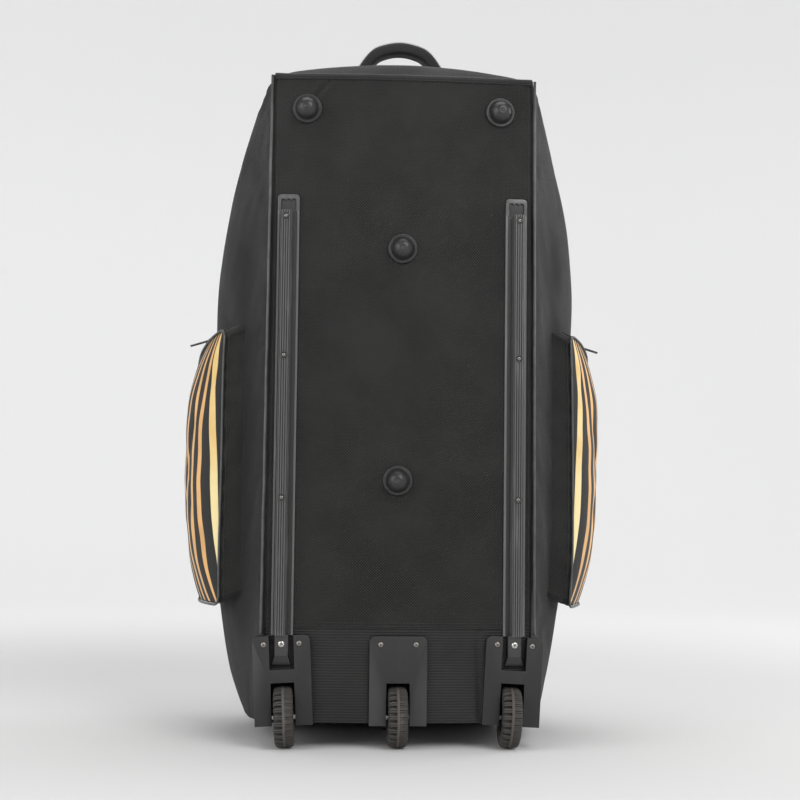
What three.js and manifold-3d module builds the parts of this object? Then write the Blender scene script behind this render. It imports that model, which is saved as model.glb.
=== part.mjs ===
// A wheeled cricket kit bag standing on its wheel end.
// +X is to the right of the base, +Y from the base to the lid, +Z up, in millimetres.
// The base's two long edges lie at depth 0 while the bag is made. The group at the end moves
// the whole bag, so that the origin is under the middle of its box, on the floor.

import * as THREE from "three";
import { mergeVertices } from "three/addons/utils/BufferGeometryUtils.js";
import Module from "manifold-3d";

const wasm = await Module();
wasm.setup();

// Bag
const seamHeight = 898;
const heelHeight = 33;
const kickHeight = 157;
const baseWidth = 360;
const baseTopWidth = 352;
const bagWidth = 512;
const bagDepth = 384;
const baseCrown = 8;
const topCrown = 18;
const lidDrop = 20;
const heelDip = 9;
const restDepth = 236;
const clothWall = 2.4;
const boardWall = 5;
const seamGap = 0.4;
const seatGap = 0.3;
const pipingRadius = 2.4;

// Main zip
const zipWidth = 34;
const zipWall = 2;

// Rails and studs
const railDrop = 164;
const railTop = seamHeight - railDrop;
const railFoot = 107;
const flangeWidth = 29;
const flangeWall = 2.6;
const ribWidth = 14;
const railRise = 14.5;
const ribDrop = 23;
const ribTop = railTop - ribDrop;
const grooveDepth = 1.3;
const tongueWidth = 18;
const tongueRise = 9;
const studRadius = 20;
const studDomeRadius = 17;
const studRise = 19;
const studInset = 42.5;
const studSpacing = baseTopWidth - 2 * studInset;

// Wheels and their brackets
const wheelRadius = 40;
const tyreWidth = 26;
const treadDepth = 1.7;
const hubRadius = 24;
const hubWidth = 22;
const axleRadius = 4;
const wheelInset = 30.5;
const wheelSpacing = baseWidth - 2 * wheelInset;
const railOutset = 4;
const railSpacing = wheelSpacing + 2 * railOutset;
const bracketLean = 2.8;
const bracketWidth = 76;
const bracketTop = 147;
const bracketFoot = 30;
const bracketCorner = 8;
const plateProud = 13;
const axleDepth = 2;
const slotWidth = 31;
const slotTop = 85.5;
const wellWall = 3;
const wellReach = 47;
const channelWidth = 32.4;
const channelFoot = 103;
const plateScrewSpacing = 46.6;
const screwHeight = 136;
const screwRadius = 3.2;
const tongueScrewRadius = 4.4;
const screwRise = 1.7;
const runningGap = 0.35;

// Side pockets
const pocketFront = 80;
const pocketBack = 246;
const pocketFoot = 188;
const pocketHeight = 372;
const pocketSlope = 58;
const pocketSag = 12;
const gussetFront = 41;
const gussetBack = 33;
const gussetLoss = 4;
const gussetTaper = 6;
const pocketBulge = 28;
const pocketFlatter = 0.2;
const pocketZipWidth = 22;
const pocketPiping = 1.9;
const pocketSeat = 0.4;

// Handle
const handleSpan = 120;
const handleRise = 50;
const handleWidth = 30;
const handleWall = 16;
const handleDepth = 112;
const patchLength = 40;
const patchWall = 2;

// Zip pulls
const sliderLength = 13;
const sliderWidth = 10;
const sliderWall = 3;
const barRadius = 1;
const barRise = 6.2;
const tabLength = 30;
const tabWidth = 5.2;
const tabWall = 1.4;

// Half of the bag's cross section, from the base's edge round to the middle of the lid:
// x is base times half the base's width plus wide times half the bag's, and back is a share of its depth
const HALF_SECTION = [
  { base: 1, wide: 0, back: 0 },
  { base: 0.66, wide: 0.34, back: 0.155 },
  { base: 0.3, wide: 0.7, back: 0.29 },
  { base: 0.08, wide: 0.92, back: 0.43 },
  { base: 0, wide: 1, back: 0.57 },
  { base: 0, wide: 0.985, back: 0.7 },
  { base: 0, wide: 0.88, back: 0.85 },
  { base: 0, wide: 0.62, back: 0.955 },
  { base: 0, wide: 0.31, back: 0.992 },
  { base: 0, wide: 0, back: 1 },
];
const ZIP_ROW = 5;

// How the bag's width and depth change up its length, as shares of the named sizes
const GIRTH = [
  { up: 0, wide: 0.855, deep: 0.88 },
  { up: 0.072, wide: 0.945, deep: 0.94 },
  { up: 0.16, wide: 0.99, deep: 0.985 },
  { up: 0.3, wide: 1, deep: 1 },
  { up: 0.66, wide: 1, deep: 1 },
  { up: 0.735, wide: 0.985, deep: 0.985 },
  { up: 0.836, wide: 0.93, deep: 0.94 },
  { up: 0.91, wide: 0.865, deep: 0.88 },
  { up: 0.97, wide: 0.8, deep: 0.82 },
  { up: 1, wide: 0.765, deep: 0.79 },
];

// Soft dents in the cloth sides: side -1 is the left one, round runs from the base's edge to the lid's
// middle, and deep is a share of the bag's depth
const DENTS = [
  { side: -1, up: 0.86, round: 0.2, tall: 0.07, broad: 0.1, deep: 0.012 },
  { side: 1, up: 0.83, round: 0.24, tall: 0.08, broad: 0.1, deep: 0.012 },
  { side: -1, up: 0.7, round: 0.12, tall: 0.09, broad: 0.07, deep: 0.01 },
  { side: 1, up: 0.68, round: 0.13, tall: 0.1, broad: 0.07, deep: 0.01 },
  { side: -1, up: 0.09, round: 0.22, tall: 0.06, broad: 0.12, deep: 0.014 },
  { side: 1, up: 0.1, round: 0.2, tall: 0.06, broad: 0.12, deep: 0.012 },
  { side: 1, up: 0.6, round: 0.8, tall: 0.1, broad: 0.12, deep: 0.018 },
  { side: -1, up: 0.33, round: 0.84, tall: 0.1, broad: 0.12, deep: 0.018 },
];

// Half of the base's faceted crown, as shares of half its width and of its crown
const BASE_FACETS = [
  { across: 0, crown: 1 },
  { across: 0.245, crown: 1 },
  { across: 0.61, crown: 0.66 },
  { across: 1, crown: 0 },
];

// A pocket's four corners, seen from its side: back and up are shares of its depth and height,
// dip is a share of its slope, and round is a share of its depth. The steps are how finely the corner,
// and the straight side after it, are cut.
const POCKET_CORNERS = [
  { back: 0, up: 0, dip: 0, round: 0.09, roundSteps: 2, sideSteps: 3 },
  { back: 1, up: 0, dip: 0, round: 0.12, roundSteps: 2, sideSteps: 4 },
  { back: 1, up: 1, dip: 1, round: 0.36, roundSteps: 4, sideSteps: 2 },
  { back: 0, up: 1, dip: 0, round: 0.09, roundSteps: 2, sideSteps: 5 },
];

// The rail screws' heights, as shares of the rail's top
const RAIL_SCREWS = [{ up: 0.958 }, { up: 0.704 }, { up: 0.447 }];

// The studs' places, as shares of their spacing and of the seam's height
const STUDS = [
  { name: "base_stud_top_left", across: -0.5, up: 0.952 },
  { name: "base_stud_top_right", across: 0.5, up: 0.952 },
  { name: "base_stud_upper", across: 0, up: 0.744 },
  { name: "base_stud_lower", across: 0, up: 0.393 },
];
const SIDES = [
  { name: "left", way: -1 },
  { name: "right", way: 1 },
];

const halfBag = bagWidth / 2;
const mix = THREE.MathUtils.lerp;
const { clamp, degToRad, smoothstep } = THREE.MathUtils;
const range = (count) => Array.from({ length: count }, (_, i) => i);
const steps = (from, to, count) =>
  Array.from({ length: count + 1 }, (_, i) => mix(from, to, i / count));

// A smooth curve through a table's column, read at a share of its key column.
function smoothColumn(table, key, column, at) {
  const last = table.length - 1;
  let i = 0;
  while (i < last - 1 && at > table[i + 1][key]) i += 1;
  const slope = (k) => {
    const before = table[Math.max(k - 1, 0)];
    const after = table[Math.min(k + 1, last)];
    return (after[column] - before[column]) / (after[key] - before[key]);
  };
  const [a, b] = [table[i], table[i + 1]];
  const width = b[key] - a[key];
  const t = clamp((at - a[key]) / width, 0, 1);
  const t2 = t * t;
  const t3 = t2 * t;
  return (
    a[column] * (2 * t3 - 3 * t2 + 1) +
    slope(i) * width * (t3 - 2 * t2 + t) +
    b[column] * (3 * t2 - 2 * t3) +
    slope(i + 1) * width * (t3 - t2)
  );
}

// Materials

const finish = (color, roughness, metalness = 0) =>
  new THREE.MeshStandardMaterial({ color, roughness, metalness });
const baseCloth = finish(0x2b2b2a, 0.85);
const kickCloth = finish(0x262624, 0.7);
const sideCloth = finish(0x2a2a28, 0.9);
const zipCloth = finish(0x1c1c1c, 0.8);
const stripedCloth = finish(0xd6a04a, 0.7);
const pipingCord = finish(0x3a3a38, 0.5);
const mouldedPlastic = finish(0x232322, 0.45);
const railPlastic = finish(0x1d1d1c, 0.4);
const studPlastic = finish(0x2a2a29, 0.5);
const tyreRubber = finish(0x33312f, 0.85);
const webbing = finish(0x222220, 0.8);
const steel = finish(0xb8b4ac, 0.3, 1);
const darkMetal = finish(0x4a4845, 0.4, 1);

// Solids

// The volume tells which way a closed surface faces, and its triangles are turned outwards.
function facingOut(positions, triangles) {
  let volume = 0;
  const [a, b, c] = [new THREE.Vector3(), new THREE.Vector3(), new THREE.Vector3()];
  for (let i = 0; i < triangles.length; i += 3) {
    a.copy(positions[triangles[i]]);
    b.copy(positions[triangles[i + 1]]);
    c.copy(positions[triangles[i + 2]]);
    volume += a.dot(b.cross(c));
  }
  const order = volume < 0 ? [...triangles].reverse() : triangles;
  const geometry = new THREE.BufferGeometry();
  const flat = positions.flatMap((p) => [p.x, p.y, p.z]);
  geometry.setAttribute("position", new THREE.Float32BufferAttribute(flat, 3));
  geometry.setIndex(order);
  geometry.computeVertexNormals();
  return geometry;
}

// A sheet with a thickness: point(u, v, 0) is on its outer face and point(u, v, 1) on its inner one.
// holds(column, row) leaves cells out, and a loop joins the last column to the first.
function sheetSolid({ us, vs, point, holds = () => true, loop = false }) {
  const columns = loop ? us.length : us.length - 1;
  const rows = vs.length - 1;
  const positions = [];
  const triangles = [];
  const known = new Map();
  const vertex = (i, j, face) => {
    const key = `${i % us.length},${j},${face}`;
    if (!known.has(key)) {
      known.set(key, positions.length);
      positions.push(point(us[i % us.length], vs[j], face));
    }
    return known.get(key);
  };
  const there = (i, j) => {
    const column = loop ? (i + columns) % columns : i;
    return column >= 0 && column < columns && j >= 0 && j < rows && holds(column, j);
  };
  const quad = (a, b, c, d) => triangles.push(a, b, c, a, c, d);
  for (let i = 0; i < columns; i += 1) {
    for (let j = 0; j < rows; j += 1) {
      if (!there(i, j)) continue;
      const [a, b, c, d] = [0, 1].map((face) => [
        vertex(i, j, face),
        vertex(i + 1, j, face),
        vertex(i + 1, j + 1, face),
        vertex(i, j + 1, face),
      ]).reduce((outer, inner) => outer.map((corner, k) => [corner, inner[k]]));
      quad(a[0], b[0], c[0], d[0]);
      quad(d[1], c[1], b[1], a[1]);
      if (!there(i, j - 1)) quad(a[1], b[1], b[0], a[0]);
      if (!there(i + 1, j)) quad(b[1], c[1], c[0], b[0]);
      if (!there(i, j + 1)) quad(c[1], d[1], d[0], c[0]);
      if (!there(i - 1, j)) quad(d[1], a[1], a[0], d[0]);
    }
  }
  return facingOut(positions, triangles);
}

// A round sheet: point(k, r, face) runs over count spokes and the given radii, from 1 at the rim inwards.
function discSolid({ count, radii, point }) {
  const positions = [];
  const triangles = [];
  const faces = [0, 1].map((face) => {
    const rings = radii.map((r) =>
      range(count).map((k) => positions.push(point(k, r, face)) - 1),
    );
    return { rings, middle: positions.push(point(0, 0, face)) - 1 };
  });
  const quad = (a, b, c, d) => triangles.push(a, b, c, a, c, d);
  for (let k = 0; k < count; k += 1) {
    const next = (k + 1) % count;
    const [top, under] = faces;
    for (let ring = 0; ring < radii.length - 1; ring += 1) {
      const [a, b] = [top.rings[ring], top.rings[ring + 1]];
      const [c, d] = [under.rings[ring], under.rings[ring + 1]];
      quad(a[k], a[next], b[next], b[k]);
      quad(d[k], d[next], c[next], c[k]);
    }
    const inmost = radii.length - 1;
    triangles.push(top.rings[inmost][k], top.rings[inmost][next], top.middle);
    triangles.push(under.rings[inmost][next], under.rings[inmost][k], under.middle);
    quad(under.rings[0][k], under.rings[0][next], top.rings[0][next], top.rings[0][k]);
  }
  return facingOut(positions, triangles);
}

// A cord that closes on itself along a loop of points, each with two directions across the cord.
function hoopSolid(stations, radius, sides) {
  const positions = stations.flatMap(({ at, across, out }) =>
    range(sides).map((k) => {
      const turn = (2 * Math.PI * k) / sides;
      return at
        .clone()
        .addScaledVector(across, radius * Math.cos(turn))
        .addScaledVector(out, radius * Math.sin(turn));
    }),
  );
  const triangles = [];
  for (let i = 0; i < stations.length; i += 1) {
    const next = (i + 1) % stations.length;
    for (let k = 0; k < sides; k += 1) {
      const beside = (k + 1) % sides;
      const [a, b] = [i * sides + k, next * sides + k];
      const [c, d] = [next * sides + beside, i * sides + beside];
      triangles.push(a, b, c, a, c, d);
    }
  }
  return facingOut(positions, triangles);
}

function extruded(outline, depth) {
  return new THREE.ExtrudeGeometry(outline, { depth, bevelEnabled: false, curveSegments: 4 });
}

const outlineOf = (points) => new THREE.Shape(points.map(([x, y]) => new THREE.Vector2(x, y)));

function boxOf(width, depth, height, x, y, z) {
  return new THREE.BoxGeometry(width, depth, height).translate(x, y, z);
}

function solidOf(geometry) {
  const bare = geometry.clone();
  bare.deleteAttribute("normal");
  bare.deleteAttribute("uv");
  const merged = mergeVertices(bare, 1e-4);
  return new wasm.Manifold(
    new wasm.Mesh({
      numProp: 3,
      vertProperties: new Float32Array(merged.attributes.position.array),
      triVerts: new Uint32Array(merged.index.array),
    }),
  );
}

function geometryOf(solid) {
  const { vertProperties, triVerts } = solid.getMesh();
  const geometry = new THREE.BufferGeometry();
  geometry.setAttribute("position", new THREE.Float32BufferAttribute(vertProperties, 3));
  geometry.setIndex(new THREE.Uint32BufferAttribute(triVerts, 1));
  geometry.computeVertexNormals();
  return geometry;
}

const joined = (...geometries) =>
  geometryOf(geometries.map(solidOf).reduce((sum, solid) => sum.add(solid)));
const without = (geometry, ...cutters) =>
  geometryOf(cutters.map(solidOf).reduce((rest, solid) => rest.subtract(solid), solidOf(geometry)));

const bag = new THREE.Group();

function piece(name, geometry, material, parent = bag) {
  const mesh = new THREE.Mesh(geometry, material);
  mesh.name = name;
  parent.add(mesh);
  return mesh;
}

function placed(x, y, z, parent = bag) {
  const group = new THREE.Group();
  group.position.set(x, y, z);
  parent.add(group);
  return group;
}

// Bag shell

const halfSection = new THREE.CatmullRomCurve3(
  HALF_SECTION.map(({ base, wide, back }) => new THREE.Vector3(base, wide, back)),
);
const upShare = (z) => clamp((z - heelHeight) / (seamHeight - heelHeight), 0, 1);
const baseHalf = (z) => mix(baseWidth, baseTopWidth, upShare(z)) / 2;
const lowerRim = (back) => heelHeight - heelDip * Math.sin(Math.PI * Math.min(back, 0.8));
const upperRim = (back) => seamHeight - lidDrop * back * back;

// A point of the bag's skin: round is -1 and 1 at the base's edges and 0 at the lid's middle.
function skin(round, up, inwards = 0) {
  const way = round < 0 ? -1 : 1;
  const u = 1 - Math.abs(round);
  const wide = halfBag * smoothColumn(GIRTH, "up", "wide", up);
  const deep = bagDepth * smoothColumn(GIRTH, "up", "deep", up);
  const at = (share) => {
    const row = halfSection.getPoint(clamp(share, 0, 1));
    const z = mix(lowerRim(row.z), upperRim(row.z), up);
    return new THREE.Vector3(row.x * baseHalf(z) + row.y * wide, row.z * deep, z);
  };
  const point = at(u);
  const along = at(u + 0.01).sub(at(u - 0.01));
  const out = new THREE.Vector3(along.y, -along.x, 0).normalize();
  let dent = 0;
  for (const { side, up: height, round: place, tall, broad, deep: depth } of DENTS) {
    if (side !== way) continue;
    dent += depth * bagDepth * Math.exp(-(((up - height) / tall) ** 2) - ((u - place) / broad) ** 2);
  }
  point.addScaledVector(out, -inwards - dent);
  point.x *= way;
  return point;
}

// How much of round, or of up, a length in millimetres takes at the bag's middle.
const zipRound = 1 - ZIP_ROW / (HALF_SECTION.length - 1);
const roundOf = (length) => (0.02 * length) / skin(zipRound - 0.01, 0.5).distanceTo(skin(zipRound + 0.01, 0.5));
const upOf = (length) => length / (seamHeight - heelHeight);

const zipOuter = zipRound + roundOf(zipWidth / 2);
const zipInner = zipRound - roundOf(zipWidth / 2);
const zipCross = 1 - upOf(zipWidth);
const halfGap = seamGap / 2;
const lidRows = steps(0, zipCross, 13).slice(0, -1);
const shellRows = [...lidRows, zipCross, 1];
const panelOf = (wall) => (round, up, face) => skin(round, up, face * wall);

const sideColumns = steps(zipOuter + roundOf(halfGap), 1, 7);
for (const { name, way } of SIDES) {
  const us = sideColumns.map((round) => way * round);
  const side = sheetSolid({ us, vs: shellRows, point: panelOf(clothWall) });
  piece(`side_panel_${name}`, side, sideCloth);
}

const lidEdge = zipInner - roundOf(halfGap);
const lidColumns = steps(-lidEdge, lidEdge, 10);
const lid = sheetSolid({
  us: lidColumns,
  vs: [...lidRows, zipCross - upOf(halfGap)],
  point: panelOf(clothWall),
});
piece("lid_panel", lid, sideCloth);

const zipColumns = [
  -zipOuter + roundOf(halfGap),
  -zipInner - roundOf(halfGap),
  ...lidColumns.slice(1, -1),
  zipInner + roundOf(halfGap),
  zipOuter - roundOf(halfGap),
];
const zipRows = [...lidRows, zipCross + upOf(halfGap), 1];
const mainZip = sheetSolid({
  us: zipColumns,
  vs: zipRows,
  point: panelOf(zipWall),
  holds: (column, row) => row === zipRows.length - 2 || column === 0 || column === zipColumns.length - 2,
});
piece("main_zip", mainZip, zipCloth);

// Base

// The base's outer face at a place across it, which is faceted and symmetric.
function baseFace(x, z) {
  const share = clamp(Math.abs(x) / baseHalf(z), 0, 1);
  const i = BASE_FACETS.findIndex(({ across }, k) => k > 0 && share <= across);
  const [a, b] = [BASE_FACETS[i - 1], BASE_FACETS[i]];
  return -baseCrown * mix(a.crown, b.crown, (share - a.across) / (b.across - a.across));
}

const baseColumns = [
  ...BASE_FACETS.slice(1).map(({ across }) => -across).reverse(),
  ...BASE_FACETS.slice(1).map(({ across }) => across),
];
const baseEdge = (z) => baseHalf(z) - clothWall - seamGap;
function basePoint(share, z, inwards) {
  const edge = Math.abs(share) === 1;
  const x = edge ? share * baseEdge(z) : share * baseHalf(z);
  return new THREE.Vector3(x, baseFace(x, z) + inwards, z);
}
const basePanelOf = (low, high, rows) =>
  sheetSolid({
    us: baseColumns,
    vs: steps(low, high, rows),
    point: (share, z, face) => basePoint(share, z, face * boardWall),
  });

// Wheel brackets: each has a frame of its own at its axle, leaning towards the middle at its foot.

function bracketFrame(way) {
  const frame = placed((way * wheelSpacing) / 2, 0, wheelRadius);
  frame.rotation.y = way * degToRad(bracketLean);
  frame.updateMatrixWorld(true);
  return frame;
}
const inFrame = (geometry, frame) => geometry.clone().applyMatrix4(frame.matrixWorld);

function plateOutline() {
  const half = bracketWidth / 2;
  const foot = bracketFoot - wheelRadius;
  const top = bracketTop - wheelRadius;
  const outline = new THREE.Shape();
  outline.moveTo(-half, foot);
  outline.lineTo(half, foot);
  outline.lineTo(half, top - bracketCorner);
  outline.absarc(half - bracketCorner, top - bracketCorner, bracketCorner, 0, Math.PI / 2);
  outline.absarc(bracketCorner - half, top - bracketCorner, bracketCorner, Math.PI / 2, Math.PI);
  return outline;
}

const plateWrap = 6;
const wellWidth = slotWidth + 2 * wellWall;
const slotLow = bracketFoot - wheelRadius;
const slotHigh = slotTop - wheelRadius;
const past = 20;

// What the bracket's plate is cut back by: the base with its corners, grown by the seat's gap.
function baseBlock() {
  const halfPoints = BASE_FACETS.map(({ across, crown }) => [
    across * (baseWidth / 2) + (across === 1 ? seatGap : 0),
    -baseCrown * crown - seatGap,
  ]).slice(1);
  const corner = [baseWidth / 2 + seatGap + plateWrap / 2, plateWrap * 2];
  const right = [...halfPoints, corner];
  const left = right.map(([x, y]) => [-x, y]).reverse();
  return extruded(outlineOf([...left, ...right]), bracketTop + 2 * past);
}

// The wheel's well: a box, open to the front and below.
const wellBox = (grow) =>
  boxOf(
    wellWidth + 2 * grow,
    plateProud + wellReach + wellWall + grow,
    slotHigh - slotLow + wellWall + grow,
    0,
    (wellReach + wellWall + grow - plateProud) / 2,
    (slotHigh + slotLow + wellWall + grow) / 2,
  );
const wellSpace = boxOf(
  slotWidth,
  plateProud + wellReach + past,
  slotHigh - slotLow + past,
  0,
  (wellReach - plateProud - past) / 2,
  (slotHigh + slotLow - past) / 2,
);
const axleHole = new THREE.CylinderGeometry(axleRadius + seatGap, axleRadius + seatGap, wellWidth + past, 12)
  .rotateZ(Math.PI / 2)
  .translate(0, axleDepth, 0);

function bracketGeometry(frame, hasChannel) {
  const plate = extruded(plateOutline(), plateProud + plateWrap)
    .rotateX(Math.PI / 2)
    .translate(0, plateWrap, 0);
  let body = without(inFrame(plate, frame), baseBlock());
  body = joined(body, inFrame(wellBox(0), frame));
  body = without(body, inFrame(wellSpace, frame), inFrame(axleHole, frame));
  if (!hasChannel) return body;
  const height = bracketTop - channelFoot + past;
  const channel = boxOf(channelWidth, 4 * past, height, 0, -past, channelFoot - wheelRadius + height / 2);
  return without(body, inFrame(channel, frame));
}

const BRACKETS = [
  { name: "left", way: -1 },
  { name: "middle", way: 0 },
  { name: "right", way: 1 },
];
const frames = BRACKETS.map(({ way }) => bracketFrame(way));
// A well is open below, so its cutter runs on under the bag.
const wellCutters = frames.map((frame) =>
  inFrame(joined(wellBox(seamGap), boxOf(
    wellWidth + 2 * seamGap,
    plateProud + wellReach + wellWall + seamGap,
    past,
    0,
    (wellReach + wellWall + seamGap - plateProud) / 2,
    slotLow,
  )), frame),
);

// A tyre's profile from its bore out, as shares of half its width and of its height over the bore;
// block says how much of the tread's depth a groove takes there
const TYRE_PROFILE = [
  { across: -0.9, up: 0, block: 0 },
  { across: -1, up: 0.5, block: 0 },
  { across: -0.9, up: 0.92, block: 1 },
  { across: -0.22, up: 1, block: 0 },
  { across: 0.22, up: 1, block: 0 },
  { across: 0.9, up: 0.92, block: 1 },
  { across: 1, up: 0.5, block: 0 },
  { across: 0.9, up: 0, block: 0 },
];
const tyreBlocks = 10;
const blockShare = 0.7;

// A tyre whose tread blocks stand between grooves; turned so that a block's middle meets the floor.
function tyreGeometry() {
  const bore = hubRadius + seatGap;
  const spokes = range(tyreBlocks).flatMap((block) => [
    { turn: block - blockShare / 2, grooved: 0 },
    { turn: block, grooved: 0 },
    { turn: block + blockShare / 2, grooved: 0 },
    { turn: block + blockShare / 2 + 0.06, grooved: 1 },
  ]);
  const positions = spokes.flatMap(({ turn, grooved }) =>
    TYRE_PROFILE.map(({ across, up, block }) => {
      const radius = mix(bore, wheelRadius, up) - grooved * block * treadDepth;
      const angle = (2 * Math.PI * turn) / tyreBlocks;
      return new THREE.Vector3(
        (across * tyreWidth) / 2,
        radius * Math.sin(angle),
        -radius * Math.cos(angle),
      );
    }),
  );
  const triangles = [];
  const rows = TYRE_PROFILE.length;
  for (let i = 0; i < spokes.length; i += 1) {
    const next = ((i + 1) % spokes.length) * rows;
    for (let k = 0; k < rows; k += 1) {
      const beside = (k + 1) % rows;
      triangles.push(i * rows + k, next + k, next + beside);
      triangles.push(i * rows + k, next + beside, i * rows + beside);
    }
  }
  return facingOut(positions, triangles);
}

// The hub: a dished disc with a collar round the axle.
function hubGeometry() {
  const half = hubWidth / 2;
  const bore = axleRadius + runningGap;
  const profile = [
    [bore, -half],
    [bore + 4, -half],
    [hubRadius - 4, -half / 3],
    [hubRadius, -half],
    [hubRadius, half],
    [hubRadius - 4, half / 3],
    [bore + 4, half],
    [bore, half],
    [bore, -half],
  ].map(([r, along]) => new THREE.Vector2(r, along));
  return new THREE.LatheGeometry(profile, 12).rotateZ(-Math.PI / 2);
}

// A screw's head: a low dome whose flat back faces +Y.
function screwHead(radius) {
  const profile = [[0, 0], [radius, 0], [radius * 0.8, screwRise * 0.8], [0, screwRise]];
  return new THREE.LatheGeometry(profile.map(([r, up]) => new THREE.Vector2(r, up)), 8).rotateX(Math.PI);
}

BRACKETS.forEach(({ name, way }, i) => {
  const frame = frames[i];
  piece(`wheel_bracket_${name}`, bracketGeometry(frame, way !== 0), mouldedPlastic);
  const axle = new THREE.CylinderGeometry(axleRadius, axleRadius, wellWidth - 2 * seatGap, 12);
  piece(`axle_${name}`, axle.rotateZ(Math.PI / 2), steel, frame).position.y = axleDepth;
  piece(`tyre_${name}`, tyreGeometry(), tyreRubber, frame).position.y = axleDepth;
  piece(`wheel_hub_${name}`, hubGeometry(), mouldedPlastic, frame).position.y = axleDepth;
  for (const { name: end, way: along } of SIDES) {
    const head = piece(`bracket_screw_${name}_${end}`, screwHead(screwRadius), steel, frame);
    head.position.set((along * plateScrewSpacing) / 2, -plateProud - seatGap, screwHeight - wheelRadius);
  }
});

const basePanel = basePanelOf(kickHeight + halfGap, seamHeight, 8);
piece("base_panel", basePanel, baseCloth);
piece("kick_panel", without(basePanelOf(heelHeight, kickHeight - halfGap, 2), ...wellCutters), kickCloth);

for (const { name, way } of SIDES) {
  const reach = pipingRadius + seatGap;
  const foot = new THREE.Vector3(way * (baseHalf(bracketTop) + reach * 0.8), -reach * 0.7, bracketTop + seamGap);
  const top = new THREE.Vector3(way * (baseHalf(seamHeight) + reach * 0.8), -reach * 0.7, seamHeight);
  const cord = new THREE.ExtrudeGeometry(
    new THREE.Shape().absarc(0, 0, pipingRadius, 0, 2 * Math.PI),
    { steps: 1, curveSegments: 8, extrudePath: new THREE.LineCurve3(foot, top) },
  );
  piece(`base_piping_${name}`, cord, pipingCord);
}

// End panels, set inside the rims of the shell

const endInset = clothWall + seamGap;
const behindBoard = boardWall + seamGap;

// The rim's points in order round the bag, from the base's right edge over the lid to its left one,
// at the columns of the panels outside it.
function rimPoints(up) {
  let corner = 1;
  while (skin(corner, up, endInset).y < behindBoard) corner -= 0.001;
  const side = [corner, ...sideColumns.slice(1, -1).reverse(), zipOuter, zipInner];
  const lidInside = lidColumns.slice(1, -1).reverse();
  const rounds = [...side, ...lidInside, ...side.map((round) => -round).reverse()];
  const shell = rounds.map((round) => skin(round, up, endInset));
  const z = up ? seamHeight : heelHeight;
  const board = baseColumns.slice(1, -1).map((share) => basePoint(share, z, behindBoard));
  return [...shell, ...board];
}

const lowRim = rimPoints(0);
const highRim = rimPoints(1);
const restMiddle = (restDepth + bagDepth * GIRTH[0].deep) / 2 - past / 2;
const lidReach = 0.75;

function heelPoint(k, r, face) {
  const rim = lowRim[k];
  const y = mix(restMiddle, rim.y, r);
  const slope = heelHeight * Math.max(0, 1 - y / restDepth);
  const roll = rim.z * smoothstep(r, lidReach, 1);
  return new THREE.Vector3(rim.x * r, y, Math.max(slope, roll) + face * clothWall);
}
const heelPanel = discSolid({ count: lowRim.length, radii: [1, 0.9, lidReach, 0.45, 0.12], point: heelPoint });
piece("end_panel_bottom", without(heelPanel, ...wellCutters), kickCloth);

const topMiddle = (bagDepth * GIRTH[GIRTH.length - 1].deep) / 2;
function topPoint(k, r, face) {
  const rim = highRim[k];
  const z = mix(seamHeight - lidDrop / 4, rim.z, r) + topCrown * (1 - r ** 3);
  return new THREE.Vector3(rim.x * r, mix(topMiddle, rim.y, r), z - face * clothWall);
}
const topPanel = piece(
  "end_panel_top",
  discSolid({ count: highRim.length, radii: [1, 0.9, 0.75, 0.45], point: topPoint }),
  sideCloth,
);

// Studs

function studGeometry() {
  const ring = studRise * 0.18;
  const profile = [
    [0, 0],
    [studRadius, 0],
    [studRadius, ring],
    [studDomeRadius, ring],
    [studDomeRadius * 0.92, studRise * 0.58],
    [studDomeRadius * 0.66, studRise * 0.86],
    [studDomeRadius * 0.3, studRise],
    [0, studRise],
  ];
  return new THREE.LatheGeometry(profile.map(([r, up]) => new THREE.Vector2(r, up)), 12).rotateX(Math.PI);
}

// The slope of the base's outer facet, on which rails and outer studs lie.
const outerFacet = BASE_FACETS[BASE_FACETS.length - 2];
const facetSlope = Math.atan2(baseCrown * outerFacet.crown, (1 - outerFacet.across) * (baseWidth / 2));

for (const { name, across, up } of STUDS) {
  const height = up * seamHeight;
  const x = across * studSpacing;
  const seat = placed(x, baseFace(x, height) - seatGap, height);
  seat.rotation.z = Math.sign(across) * facetSlope;
  piece(name, studGeometry(), studPlastic, seat);
}

// Rails

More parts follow.
